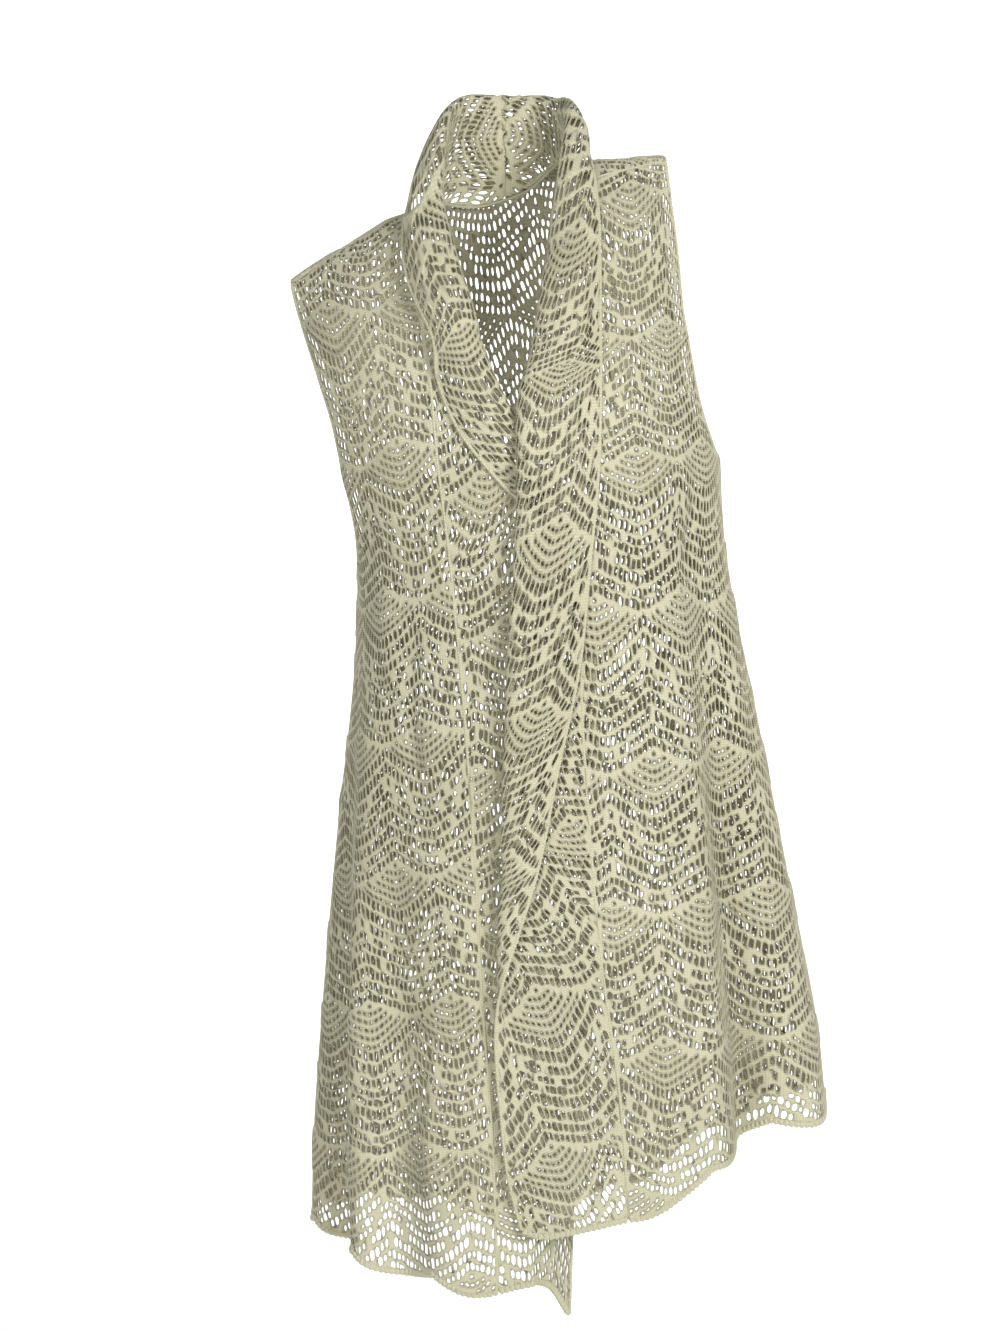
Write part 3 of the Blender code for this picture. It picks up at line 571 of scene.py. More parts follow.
@dataclass
class LaceChart:
    """The knitted lace: wavy rows of slots, with leaf-shaped fans of eyelets set half-drop.

    Each block of rows hangs in smiles. Row k of block n lies at n B + base_k + D_k (1 - (d/9)^p),
    where B is the half-drop, D_k the row's dip, 9 the half span of a smile, d the distance in
    columns from the nearest smile's middle and p the bend, so that the smiles are round below and
    meet in points above. The fan fills the space between the last row of one block and the first
    row of the next, and its own rows follow its rounded foot upwards until they meet its pointed
    top. The ripple's waves are in radians per column, per row and per block.
    """

    column: float = 0.00444
    half_drop: float = 0.125
    half_span: int = 9
    first_dip: float = 0.028
    last_dip: float = 0.018
    row_shares: tuple[float, ...] = (15, 16, 14, 10, 11, 15, 15, 12, 12)
    fan_rows: int = 6
    bend: float = 1.4
    slot_share: float = 0.82
    slant: float = 0.30
    ripple: float = 0.0008
    ripple_waves: tuple[float, float, float] = (2.3, 1.9, 5.0)
    stagger: float = 0.25
    thin: float = 0.0011
    rows: tuple[str, ...] = (
        "||||||||||",
        "|||||O||iO",
        "|iOi.iOi.i",
        "|io.iOi.iO",
        "||||Oi.iO|",
        "O|||i.iO||",
        "iO|iiO||O.",
        "|i.iO||O|i",
        "||||||iO|O",
    )

    @property
    def plaited(self) -> int:
        """Lattice rows of a block above its fan: a row of slots and a plain chain for each."""
        return 2 * len(self.rows)

    @property
    def per_block(self) -> int:
        """Lattice rows of a block."""
        return self.plaited + self.fan_rows

    def signed(self, x: Array, block: int) -> Array:
        """Columns to the right of the nearest smile's middle, which steps half a span each block."""
        half = self.half_span
        return (x - half * (block % 2) + half) % (2 * half) - half

    def distance(self, x: Array, block: int) -> Array:
        """Distance in columns from the nearest middle of a smile."""
        return np.abs(self.signed(x, block))

    def slope(self, x: Array, block: int) -> Array:
        """How far down a smile hangs: 1 - (d/9)^bend, which is 1 at its middle and 0 at its ends."""
        return 1 - (self.distance(x, block) / self.half_span) ** self.bend

    def starts(self, block: int) -> tuple[Array, Array]:
        """Where each row of slots and the fan's roof start, at a smile's ends, and how far they dip."""
        base = np.concatenate([[0.0], np.cumsum(self.row_shares)])
        base *= (self.half_drop - self.last_dip) / base[-1]
        dip = np.linspace(self.first_dip, self.last_dip, len(base))
        return (block * self.half_drop + base)[:, None], dip[:, None]

    def lines(self, x: Array, block: int) -> tuple[Array, Array]:
        """The lattice's lines of a block: where its rows of slots, chains and fan rows start.

        Rows are staggered by turns to the right and to the left, and every line but the first
        ripples a little, as a sine along it. A chain's line is moved away from the smile's middle
        by slant sin(pi r / 9) columns, where r is the signed distance from it, so that the bars
        between the slots spread like rays. A fan's line is its foot, raised by whole steps until
        it meets the fan's roof.

        Args:
            x: places across, in columns.
            block: number of the block.

        Returns:
            Columns across and metres down, one row for each lattice row.
        """
        start, dip = self.starts(block)
        straight = x + self.stagger * (-1.0) ** np.arange(len(self.rows))[:, None]
        ray = np.sin(np.pi * self.signed(straight, block) / self.half_span)
        slanted = straight + self.slant * ray
        top = start[:-1] + dip[:-1] * self.slope(slanted, block)
        foot = start[1:] + dip[1:] * self.slope(slanted, block)
        across = np.empty((self.plaited, len(x)))
        down = np.empty_like(across)
        across[0::2], down[0::2] = straight, start[:-1] + dip[:-1] * self.slope(straight, block)
        across[1::2], down[1::2] = slanted, top + (foot - top) * self.slot_share
        number = np.arange(1, self.plaited)[:, None]
        per_column, per_row, per_block = self.ripple_waves
        down[1:] += self.ripple * np.sin(per_column * across[1:] + per_row * number + per_block * block)
        roof = start[-1:] + dip[-1:] * self.slope(x, block)
        left = np.arange(self.fan_rows - 1, 0, -1)[:, None]
        foot = (block + 1) * self.half_drop + self.first_dip * self.slope(x, block + 1)
        step = (self.first_dip + self.last_dip) / self.fan_rows
        fan = np.maximum(roof, foot - left * step)
        across = np.concatenate([across, np.tile(x, (self.fan_rows, 1))])
        return across, np.concatenate([down, roof, fan])


@dataclass
class Knitting:
    """A lattice of lace cells over a rectangle of the chart, before it is cut to a panel.

    Unevenness is the spread of the stitches' places in metres, and mixed is the share of cells
    whose hole is drawn from mixed_marks instead of the chart, with a random seed that lies
    mixed_seed above the stitches' own. Eyelet_height is the least height of a fan's cell with an
    eyelet, as a share of a full step of the fan.
    """

    chart: LaceChart
    columns: tuple[int, int]
    blocks: tuple[int, int]
    seed: int
    unevenness: float = 0.00026
    mixed: float = 0.20
    mixed_marks: str = "|i|Oo"
    mixed_seed: int = 100
    eyelet_height: float = 0.5

    def __post_init__(self) -> None:
        """Lay out corners, the middles of the row edges, the cells and their marks."""
        chart = self.chart
        first, last = self.columns
        corner_x = np.arange(first, last + 2) - 0.5
        middle_x = np.arange(first, last + 1).astype(float)

        def stack(x: Array) -> tuple[Array, Array]:
            """Lines of every block, and the first line of the block after the last."""
            found = [chart.lines(x, n) for n in range(*self.blocks)]
            across, down = chart.lines(x, self.blocks[1])
            found.append((across[:1], down[:1]))
            return tuple(np.concatenate([part[i] for part in found]) for i in range(2))

        corner_across, corner_y = stack(corner_x)
        middle_across, middle_y = stack(middle_x)
        order = np.arange(len(corner_y)) % chart.per_block
        in_fan = order > chart.plaited
        corner_id = np.arange(corner_y.size).reshape(corner_y.shape)
        middle_id = corner_y.size + np.arange(middle_y.size).reshape(middle_y.shape)
        for row in np.flatnonzero(in_fan):
            for y, index in ((corner_y, corner_id), (middle_y, middle_id)):
                flat = y[row] - y[row - 1] < chart.thin
                index[row] = np.where(flat, index[row - 1], index[row])
                y[row] = np.where(flat, y[row - 1], y[row])
        lines = ((corner_across, corner_y), (middle_across, middle_y))
        self.points = np.concatenate([np.stack([x * chart.column, y], -1).reshape(-1, 2) for x, y in lines])
        random = np.random.default_rng(self.seed)
        self.points += random.normal(0.0, self.unevenness, self.points.shape)
        above = [corner_id[:-1, :-1], middle_id[:-1], corner_id[:-1, 1:]]
        below = [corner_id[1:, 1:], middle_id[1:], corner_id[1:, :-1]]
        self.outer = np.stack(above + below, -1).reshape(-1, 6)
        self.marks = self.mark_cells(middle_x, order[:-1], corner_y, middle_y)
        fan_share = np.where(in_fan, (order - chart.plaited) / chart.fan_rows, 0.0)
        self.dome = np.concatenate([np.repeat(fan_share, y.shape[1]) for y in (corner_y, middle_y)])

    def mark_cells(self, x: Array, order: Array, corner_y: Array, middle_y: Array) -> Array:
        """Read every cell's mark from the chart, by its distance from the smile's middle.

        Args:
            x: columns of the cells.
            order: place of each row of cells in its block.
            corner_y: heights of the corners.
            middle_y: heights of the middles of the row edges.

        Returns:
            One mark for each cell, which is the plain one where a fan's cell is too thin for an eyelet.
        """
        chart = self.chart
        table = np.array([list(row) for row in chart.rows])
        plaited = chart.plaited
        marks = np.full((len(order), len(x)), Hole.NONE.value)
        height = np.minimum(np.diff(corner_y, axis=0)[:, :-1], np.diff(corner_y, axis=0)[:, 1:])
        least = (chart.first_dip + chart.last_dip) / chart.fan_rows * self.eyelet_height
        random = np.random.default_rng(self.seed + self.mixed_seed)
        for number, block in enumerate(range(*self.blocks)):
            d = chart.distance(x, block).astype(int)
            start = number * chart.per_block
            charted = table[:, d]
            other = random.choice(list(self.mixed_marks), size=charted.shape)
            swapped = random.random(charted.shape) < self.mixed
            marks[start : start + plaited : 2] = np.where(swapped, other, charted)
            fan = slice(start + plaited, start + chart.per_block)
            marks[fan] = np.where(height[fan] > least, Hole.EYELET.value, Hole.NONE.value)
        return marks.reshape(-1)


def solid_mesh(
    name: str, points: Array, triangles: Array, maps: dict[str, Array], rim: Array
) -> bpy.types.Object:
    """Put whole arrays of points and triangles into a smooth-shaded mesh object at the origin.

    Args:
        name: piece name.
        points: vertices.
        triangles: vertex numbers, three a row, turned outwards.
        maps: UV maps by name, with a place for each corner of each triangle.
        rim: painted shade of each vertex from 0 to 1, full at hole rims and less on the inner sheet.

    Returns:
        The new object, linked to the scene.
    """
    mesh = bpy.data.meshes.new(name)
    mesh.vertices.add(len(points))
    mesh.vertices.foreach_set("co", points.astype(np.float32).ravel())
    mesh.loops.add(triangles.size)
    mesh.loops.foreach_set("vertex_index", triangles.astype(np.int32).ravel())
    mesh.polygons.add(len(triangles))
    mesh.polygons.foreach_set("loop_start", np.arange(0, triangles.size, 3, dtype=np.int32))
    mesh.polygons.foreach_set("use_smooth", np.ones(len(triangles), dtype=bool))
    mesh.update(calc_edges=True)
    for title, places in maps.items():
        layer = mesh.uv_layers.new(name=title)
        layer.data.foreach_set("uv", places.astype(np.float32).ravel())
    # The rim attribute is painted shade: full at the holes' rims and a share on the inner sheet.
    shade = mesh.attributes.new("rim", "FLOAT", "POINT")
    shade.data.foreach_set("value", rim.astype(np.float32))
    mesh.validate()
    thing = bpy.data.objects.new(name, mesh)
    bpy.context.collection.objects.link(thing)
    return thing


@dataclass(frozen=True)
class Sheet:
    """A panel's flat front: chart places with their share of a dome and of a rim, and its faces."""

    places: Array
    dome: Array
    rim: Array
    triangles: Array
    hole_edges: Array


@dataclass
class LacePanel:
    """A panel of lace: a lattice cut to the panel's outline and laid on its surface.

    A subclass says where the panel's outline is (clip), where a chart place lies on its form
    (to_form) and where that is in space (surface). Cells beyond the outline are left out, and
    those that cross it are knitted without holes, as a plain selvage. Least_cell, sliver and
    whole_cell are shares of a cell's area: below the first two it is left out, and below the
    third it is plain. Opened narrows the holes. The spreads make the holes uneven.
    """

    name: str
    form: WornForm = field(default_factory=WornForm)
    thickness: float = 0.0017
    rim_thickness: float = 0.0007
    fan_dome: float = 0.0016
    row_ridge: float = 0.00025
    least_cell: float = 0.12
    sliver: float = 0.02
    whole_cell: float = 0.75
    least_area: float = 1e-9
    # Painted shade on the inner sheet, as its least value of the rim attribute.
    inside_shade: float = 0.5
    opened: float = 1.0
    size_spread: float = 0.10
    place_spread: float = 0.02
    most_spread: float = 2.0
    seed: int = 1

    def clip(self, places: Array) -> Array:
        """Move chart places outside the panel to its outline."""
        raise NotImplementedError

    def to_form(self, places: Array) -> tuple[Array, Array]:
        """The two coordinates of chart places on the panel's form."""
        raise NotImplementedError

    def surface(self, across: Array, down: Array) -> tuple[Array, Array]:
        """Points and outward normals of places on the form."""
        raise NotImplementedError

    def lattice(self, chart: LaceChart, low: Array, high: Array, spare: int) -> Knitting:
        """The knitting that covers the chart from one place to another.

        Args:
            chart: the lace.
            low: least distance across and down.
            high: greatest distance across and down.
            spare: columns beyond each of them.

        Returns:
            The lattice, with a block of rows to spare above and below.
        """
        columns = (int(low[0] / chart.column) - spare, int(high[0] / chart.column) + spare)
        blocks = (math.floor(low[1] / chart.half_drop) - 1, math.ceil(high[1] / chart.half_drop) + 1)
        return Knitting(chart, columns, blocks, self.seed)

    def cut(self, knitting: Knitting, cells: slice = slice(None)) -> bpy.types.Object:
        """Cut the knitting to the panel's outline and make its mesh.

        Args:
            knitting: lattice that covers the panel.
            cells: which of the lattice's cells this piece takes.

        Returns:
            The panel's object.
        """
        flat = self.clip(knitting.points)
        outer, marks = knitting.outer[cells], knitting.marks[cells]
        chart = knitting.chart
        area = shoelace(flat[outer])
        nominal = np.maximum(shoelace(knitting.points[outer]), self.least_area)
        normal_cell = chart.column * chart.half_drop / chart.per_block
        kept = area > self.least_cell * np.minimum(nominal, normal_cell)
        kept &= area > self.sliver * normal_cell
        marks = np.where(kept & (area > self.whole_cell * nominal), marks, Hole.NONE.value)
        sheet = self.open_holes(flat, knitting.dome, outer[kept], marks[kept])
        log.info(
            "%s: cut %.3f wide and %.3f long, %.4f square metres with its holes",
            self.name, *np.ptp(sheet.places[np.unique(sheet.triangles)], axis=0), area[kept].sum(),
        )
        return self.shell(sheet, border_edges(outer[kept], sheet.triangles))

    def open_holes(self, flat: Array, dome: Array, outer: Array, marks: Array) -> Sheet:
        """Fill the plain cells, and cut a slightly uneven hole in each of the others.

        Args:
            flat: chart places of the lattice's points.
            dome: how far up a fan each point lies, from 0 to 1.
            outer: the six outer points of each cell.
            marks: the hole of each cell.

        Returns:
            The panel's flat front.
        """
        places, domes, rims = [flat], [dome], [np.zeros(len(flat))]
        fronts, walls = [outer[marks == Hole.NONE.value][:, JOIN_NONE].reshape(-1, 3)], []
        count = len(flat)
        random = np.random.default_rng(self.seed)
        for hole, ring in HOLE_RINGS.items():
            corners = outer[marks == hole.value]
            if not len(corners):
                continue
            spread = random.normal(size=(len(corners), 1, 1)).clip(-self.most_spread, self.most_spread)
            size = 1 + self.size_spread * spread
            shift = self.place_spread * random.normal(size=(len(corners), 1, 2))
            spot = 0.5 + ring[None] * (self.opened, 1.0) * size + shift
            numbers = count + np.arange(len(corners) * len(ring)).reshape(len(corners), -1)
            count += numbers.size
            places.append(in_cell(flat[corners], spot).reshape(-1, 2))
            domes.append(np.repeat(dome[corners].mean(axis=1), len(ring)))
            rims.append(np.ones(numbers.size))
            cells = np.concatenate([corners, numbers], axis=1)
            fronts.append(cells[:, JOINS[len(ring)]].reshape(-1, 3))
            walls.append(np.stack([numbers, np.roll(numbers, -1, axis=1)], -1).reshape(-1, 2))
        places, front = np.concatenate(places), np.concatenate(fronts)
        a, b, c = front.T
        front = front[(a != b) & (b != c) & (a != c)]
        front = front[triangle_area(places[front]) > self.least_area]
        return Sheet(places, np.concatenate(domes), np.concatenate(rims), front, np.concatenate(walls))

    def shell(self, sheet: Sheet, border: Array) -> bpy.types.Object:
        """Lay a flat front on the panel's surface and make it a closed shell.

        The front and the back sheet lie half a thickness out and in. Each hole and the panel's
        border get a wall between them.

        Args:
            sheet: the flat front.
            border: edges of the panel's border.

        Returns:
            The panel's object.
        """
        used, front = np.unique(sheet.triangles, return_inverse=True)
        front = front.reshape(sheet.triangles.shape)
        total = len(used)
        lookup = np.zeros(len(sheet.places), dtype=int)
        lookup[used] = np.arange(total)
        rim, flat = sheet.rim[used], sheet.places[used]
        points, normals = self.surface(*self.to_form(flat))
        dome = np.sin(np.pi * sheet.dome[used])
        points = points + normals * (self.fan_dome * dome)[:, None]
        half = np.where(rim > 0, self.rim_thickness, self.thickness + self.row_ridge * (dome <= 0)) / 2
        vertices = np.concatenate([points + normals * half[:, None], points - normals * half[:, None]])
        back = front[:, ::-1] + total
        holes, edges = lookup[sheet.hole_edges], lookup[border]
        sides = np.concatenate([strip(holes, total), strip(edges[:, ::-1], total)])
        triangles = np.concatenate([front, back, sides])
        baked = baking_map(flat, front, back, sides)
        if facing(vertices, front, normals) < 0:
            triangles, baked = triangles[:, ::-1], baked[:, ::-1]
        maps = {"Chart": np.concatenate([flat, flat])[triangles], "OFBake": baked}
        # The inner sheet is painted darker, as painted shade for the shade inside the garment.
        inside = np.maximum(rim, self.inside_shade)
        return solid_mesh(self.name, vertices, triangles, maps, np.concatenate([rim, inside]))


# The baking square: size and corner of the front sheet's share, the step to the back sheet's,
# and the width of a hole's wall in metres of the chart.
BAKE_SIZE, BAKE_CORNER, BAKE_BACK = (0.485, 0.98), (0.005, 0.01), (0.5, 0.0)
BAKE_WALL = 0.00035


def baking_map(flat: Array, front: Array, back: Array, sides: Array) -> Array:
    """Lay the front and back sheets side by side in the unit square, with walls in the holes.

    Args:
        flat: chart places of one sheet's vertices.
        front: triangles of the front sheet.
        back: triangles of the back sheet, whose numbers follow the front's.
        sides: triangles of the walls.

    Returns:
        Places in the square for each corner of each triangle.
    """
    low, span = flat.min(axis=0), np.ptp(flat, axis=0)
    square = (flat - low) / span * BAKE_SIZE + BAKE_CORNER
    both = np.concatenate([square, square + BAKE_BACK])
    walls = np.concatenate([square, square + BAKE_WALL / span * BAKE_SIZE])
    return np.concatenate([both[front], both[back], walls[sides]])


def shoelace(corners: Array) -> Array:
    """Area of each polygon: half the sum of the cross products of following corners."""
    x, y = corners[..., 0], corners[..., 1]
    return 0.5 * np.abs(np.sum(x * np.roll(y, -1, axis=-1) - np.roll(x, -1, axis=-1) * y, axis=-1))


def triangle_area(corners: Array) -> Array:
    """Area of each flat triangle."""
    first, second = corners[:, 1] - corners[:, 0], corners[:, 2] - corners[:, 0]
    return 0.5 * np.abs(first[:, 0] * second[:, 1] - first[:, 1] * second[:, 0])


def in_cell(corners: Array, spot: Array) -> Array:
    """Places inside cells whose top and bottom edges are parabolas through three points.

    A place is the top edge's point at s and the bottom edge's point at s, mixed by t.

    Args:
        corners: six outer points of each cell.
        spot: s and t of each place, from 0 to 1.

    Returns:
        Chart places, one row of them for each cell.
    """
    s, t = spot[..., :1], spot[..., 1:]
    left, middle, right = (1 - s) * (1 - 2 * s), 4 * s * (1 - s), s * (2 * s - 1)
    corner = [corners[:, i][:, None] for i in range(6)]
    top = left * corner[0] + middle * corner[1] + right * corner[2]
    foot = left * corner[5] + middle * corner[4] + right * corner[3]
    return top * (1 - t) + foot * t


def border_edges(outer: Array, front: Array) -> Array:
    """Edges of the cut knitting's border: those that only one triangle of the front has.

    Args:
        outer: outer points of the kept cells, whose edges are looked at.
        front: triangles of the front sheet.

    Returns:
        Pairs of vertex numbers, in the triangles' own order.
    """
    edges = np.concatenate([front[:, [0, 1]], front[:, [1, 2]], front[:, [2, 0]]])
    least = outer.max() + 1
    edges = edges[(edges < least).all(axis=1)]
    wide = edges.max() + 1
    keys = edges[:, 0] * wide + edges[:, 1]
    back = edges[:, 1] * wide + edges[:, 0]
    return edges[~np.isin(back, keys)]


def strip(pairs: Array, total: int) -> Array:
    """Two triangles for each edge, between the front sheet and the back sheet."""
    a, b = pairs.T
    return np.concatenate([np.stack([a, b, b + total], -1), np.stack([a, b + total, a + total], -1)])


def facing(vertices: Array, triangles: Array, normals: Array) -> float:
    """Mean agreement of the triangles' own normals with the wanted ones."""
    a, b, c = (vertices[triangles[:, i]] for i in range(3))
    return float(np.sum(np.cross(b - a, c - a) * normals[triangles[:, 0]]))


@dataclass
class ChartFit:
    """How the lace chart lies on a panel's form: smooth tables by level.

    Each table row is a level, the girth of the fan column's line and the chart's distance down.
    Tilt is how far the rows drop for each metre across. Samples is how finely it's read backwards.
    """

    table: Array
    tilt: float = 0.0
    samples: int = 500

    def down(self, level: Array) -> Array:
        """Chart metres down at a level."""
        return smooth_rows(self.table, level)[1]

    def to_form(self, places: Array) -> tuple[Array, Array]:
        """Girth and level of chart places: the level by reading the table backwards, then u + line."""
        levels = np.linspace(self.table[0, 0], self.table[-1, 0], self.samples)
        line, down = smooth_rows(self.table, levels)
        level = np.interp(places[:, 1] + self.tilt * places[:, 0], down, levels)
        return places[:, 0] + np.interp(level, levels, line), level

    def to_chart(self, girth: Array, level: Array) -> Array:
        """Chart places of a girth and level."""
        line, down = smooth_rows(self.table, level)
        across = girth - line
        return np.stack([across, down - self.tilt * across], -1)


@dataclass
class Creases:
    """Small soft troughs and ridges beside the cloth's long folds.

    A row is the girth and level of its top, the girth and level of its foot, its depth (out is
    positive) and its half width. Along its line it swells and fades as a half sine. Its line and
    its swell ripple slowly, so that no two stretches are alike: wander and swell_ripple are how
    much, and the waves are in radians over its whole length and per metre of its top's girth.
    """

    table: Array
    wander: float = 0.004
    wander_waves: tuple[float, float] = (7.0, 40.0)
    swell_power: float = 0.8
    swell_ripple: float = 0.25
    swell_waves: tuple[float, float] = (11.0, 90.0)

    def push(self, girth: Array, level: Array) -> Array:
        """Distance out at each place: the sum of the creases there."""
        total = np.zeros_like(girth)
        (wander, wander_at), (swelling, swelling_at) = self.wander_waves, self.swell_waves
        for g0, l0, g1, l1, depth, half_width in self.table:
            t = (level - l0) / (l1 - l0)
            line = g0 + (g1 - g0) * t + self.wander * np.sin(wander * t + wander_at * g0)
            swell = np.sin(np.pi * np.clip(t, 0, 1)) ** self.swell_power
            swell = swell * (1 + self.swell_ripple * np.sin(swelling * t + swelling_at * g0))
            total += depth * swell * np.exp(-(((girth - line) / half_width) ** 2))
        return total


# How the lace lies on the panels: level, girth of the fan column's line, and chart metres down.
FRONT_FITS = {
    Hand.RIGHT: ChartFit(np.array([
        (-0.30, -0.098, -0.520), (0.107, -0.100, -0.104), (0.208, -0.103, 0.0), (0.452, -0.1085, 0.250),
        (0.694, -0.093, 0.500), (0.95, -0.088, 0.762), (1.10, -0.087, 0.915),
    ])),
    Hand.LEFT: ChartFit(np.array([
        (-0.30, 0.145, -0.385), (-0.02, 0.140, -0.092), (0.067, 0.131, 0.0), (0.15, 0.108, 0.098),
        (0.27, 0.087, 0.248), (0.53, 0.090, 0.500), (0.774, 0.086, 0.750), (1.06, 0.083, 1.045),
    ]), tilt=0.20),
}
BACK_FIT = ChartFit(np.array([
    (-0.30, 0.010, -0.300), (0.10, 0.010, 0.100), (0.40, 0.006, 0.396), (0.70, 0.002, 0.700),
    (1.10, 0.0, 1.100),
]))
CREASES = {
    Face.FRONT: Creases(np.array([
        (-0.118, 0.335, -0.112, 0.560, -0.0040, 0.010),
        (-0.152, 0.300, -0.128, 0.420, 0.0035, 0.012),
        (-0.075, 0.560, -0.082, 0.900, 0.0030, 0.012),
        (-0.112, 0.720, -0.120, 0.930, 0.0045, 0.011),
        (-0.185, 0.520, -0.205, 0.900, 0.0040, 0.013),
        (0.072, 0.330, 0.060, 0.700, -0.0030, 0.012),
        (0.100, 0.100, 0.092, 0.330, 0.0025, 0.016),
        (0.120, 0.480, 0.128, 0.860, 0.0040, 0.012),
        (0.150, 0.250, 0.132, 0.420, -0.0035, 0.010),
        (0.205, 0.420, 0.225, 0.860, -0.0040, 0.014),
        (0.055, 0.740, 0.060, 0.920, 0.0030, 0.010),
    ])),
    Face.BACK: Creases(np.array([
        (-0.110, 0.140, -0.060, 0.420, -0.0030, 0.015),
        (0.120, 0.120, 0.075, 0.400, 0.0030, 0.014),
        (-0.030, 0.420, -0.042, 0.800, 0.0035, 0.013),
        (0.022, 0.520, 0.034, 0.930, -0.0035, 0.014),
        (0.125, 0.430, 0.150, 0.860, 0.0040, 0.014),
        (-0.140, 0.380, -0.170, 0.780, 0.0035, 0.013),
        (-0.190, 0.600, -0.205, 0.900, -0.0035, 0.012),
        (0.185, 0.560, 0.196, 0.880, -0.0030, 0.012),
        (0.000, 0.060, 0.004, 0.200, 0.0020, 0.020),
    ])),
}


@dataclass
class FormPanel(LacePanel):
    """A panel that hangs on one face of the form, between two long edges, a top and a hem.

    A subclass tabulates the outline: the girths of its near and far edges by level, and the
    levels of its top and hem by girth. Girths are times its sign, so that far is the greater.
    """

    face = Face.FRONT
    sign = 1

    def to_form(self, places: Array) -> tuple[Array, Array]:
        """Girth and level of chart places."""
        return self.fit.to_form(places)

    def clip(self, places: Array) -> Array:
        """Move chart places outside the panel to its outline, down or up and then across."""
        girth, level = self.to_form(places)
        girth = girth * self.sign
        for _ in range(2):
            top = np.interp(girth, self.top_girth, self.top)
            level = np.clip(level, top, np.interp(girth, self.hem_girth, self.hem))
            near = np.interp(level, OUTLINE_LEVELS, self.near)
            girth = np.clip(girth, near, np.interp(level, OUTLINE_LEVELS, self.far))
        return self.fit.to_chart(girth * self.sign, level)

    def lift(self, girth: Array, level: Array) -> Array:
        """How far the panel lies out from the form."""
        return np.zeros_like(girth)

    def uncreased(self, girth: Array, level: Array) -> tuple[Array, Array]:
        """Points and outward normals on the panel before its small creases."""
        normal = self.form.normal(girth, level, self.face)
        points = self.form.point(girth, level, self.face)
        return points + normal * self.lift(girth, level)[..., None], normal

    def surface(self, girth: Array, level: Array) -> tuple[Array, Array]:
        """Points and outward normals on the panel."""
        points, normal = self.uncreased(girth, level)
        return points + normal * CREASES[self.face].push(girth, level)[..., None], normal

    def ends(self) -> Array:
        """Chart distances down to just above the panel's top and just below its hem."""
        return self.fit.down(np.array([self.top.min() - HEAD_ROOM, self.hem.max() + FOOT_ROOM]))


@dataclass
class FrontPanel(FormPanel):
    """One front, from the shoulder seam to the hem and from the band's seam to the side seam."""

    hand: Hand = Hand.RIGHT
    neck_spare: float = 0.012
    neck_row: int = 10
    spare: int = 2

    def __post_init__(self) -> None:
        """Tabulate the outline: near and far girths by level, top and hem levels by girth."""
        form, hand = self.form, self.hand
        self.fit, self.sign = FRONT_FITS[hand], hand.value
        self.near = np.abs(form.girth_of(self.seam_side(OUTLINE_LEVELS), OUTLINE_LEVELS, self.face))
        self.far = form.outer_girth(OUTLINE_LEVELS, self.face, hand)
        inner = abs(NECK_POINT[hand]) - self.neck_spare
        self.sides = np.linspace(inner, form.shoulder_half + SHOULDER_SPARE, 160)
        self.top = form.shoulder_level(self.sides, self.face) + form.seam_forward(self.sides, hand)
        self.top = self.top + form.seam_gap / 2
        self.top_girth = np.abs(form.girth_of(self.sides, self.top, self.face))
        self.hem_girth = np.linspace(0.02, WIDEST_HEM, 400)
        self.hem = form.hem_level(self.hem_girth, self.face, hand)

    def seam_side(self, level: Array) -> Array:
        """Sideways distance of the band's seam."""
        right, left = smooth_rows(SEAMS, level)
        return right if self.hand is Hand.RIGHT else left

    def lift(self, girth: Array, level: Array) -> Array:
        """How far the front lies out: only the wearer's left one lies over the other."""
        return self.form.lift(girth, level) if self.hand is Hand.LEFT else np.zeros_like(girth)

    def build(self, chart: LaceChart) -> list[bpy.types.Object]:
        """Knit the front.

        Args:
            chart: the lace.

        Returns:
            The panel's object.
        """
        edges = np.concatenate([self.near, self.far]) * self.sign
        spots = self.fit.to_chart(edges, np.tile(OUTLINE_LEVELS, 2))
        top, foot = self.ends()
        across = spots[(spots[:, 1] > top) & (spots[:, 1] < foot), 0]
        return [self.cut(self.lattice(chart, (across.min(), top), (across.max(), foot), self.spare))]

    def outline(self, part: str) -> tuple[Array, Array]:
        """Points and normals along one edge of the front.

        Args:
            part: band, shoulder, armhole, side or hem.

        Returns:
            Points and outward normals.
        """
        foot, hem = ARMHOLE_LEVEL[self.hand], HEM_FRONT[self.hand]
        corner = self.top[self.neck_row]
        tip = np.interp(self.form.shoulder_half, self.sides, self.top)
        if part == "shoulder":
            near = np.interp(corner, OUTLINE_LEVELS, self.near)
            girth = np.linspace(near, np.interp(tip, OUTLINE_LEVELS, self.far), 90)
            level = np.interp(girth, self.top_girth, self.top)
        elif part == "hem":
            near = np.interp(hem, OUTLINE_LEVELS, self.near)
            far = np.interp(HEM_SIDE[self.hand], OUTLINE_LEVELS, self.far)
            girth = np.linspace(near, far, 260)
            level = np.interp(girth, self.hem_girth, self.hem)
        else:
            seam_foot = np.interp(np.interp(hem, OUTLINE_LEVELS, self.near), self.hem_girth, self.hem)
            start, end, count = {
                "band": (corner, seam_foot, 420),
                "armhole": (tip, foot, 220),
                "side": (foot, HEM_SIDE[self.hand], 260),
            }[part]
            level = np.linspace(start, end, count)
            girth = np.interp(level, OUTLINE_LEVELS, self.near if part == "band" else self.far)
        return self.surface(girth * self.sign, level)


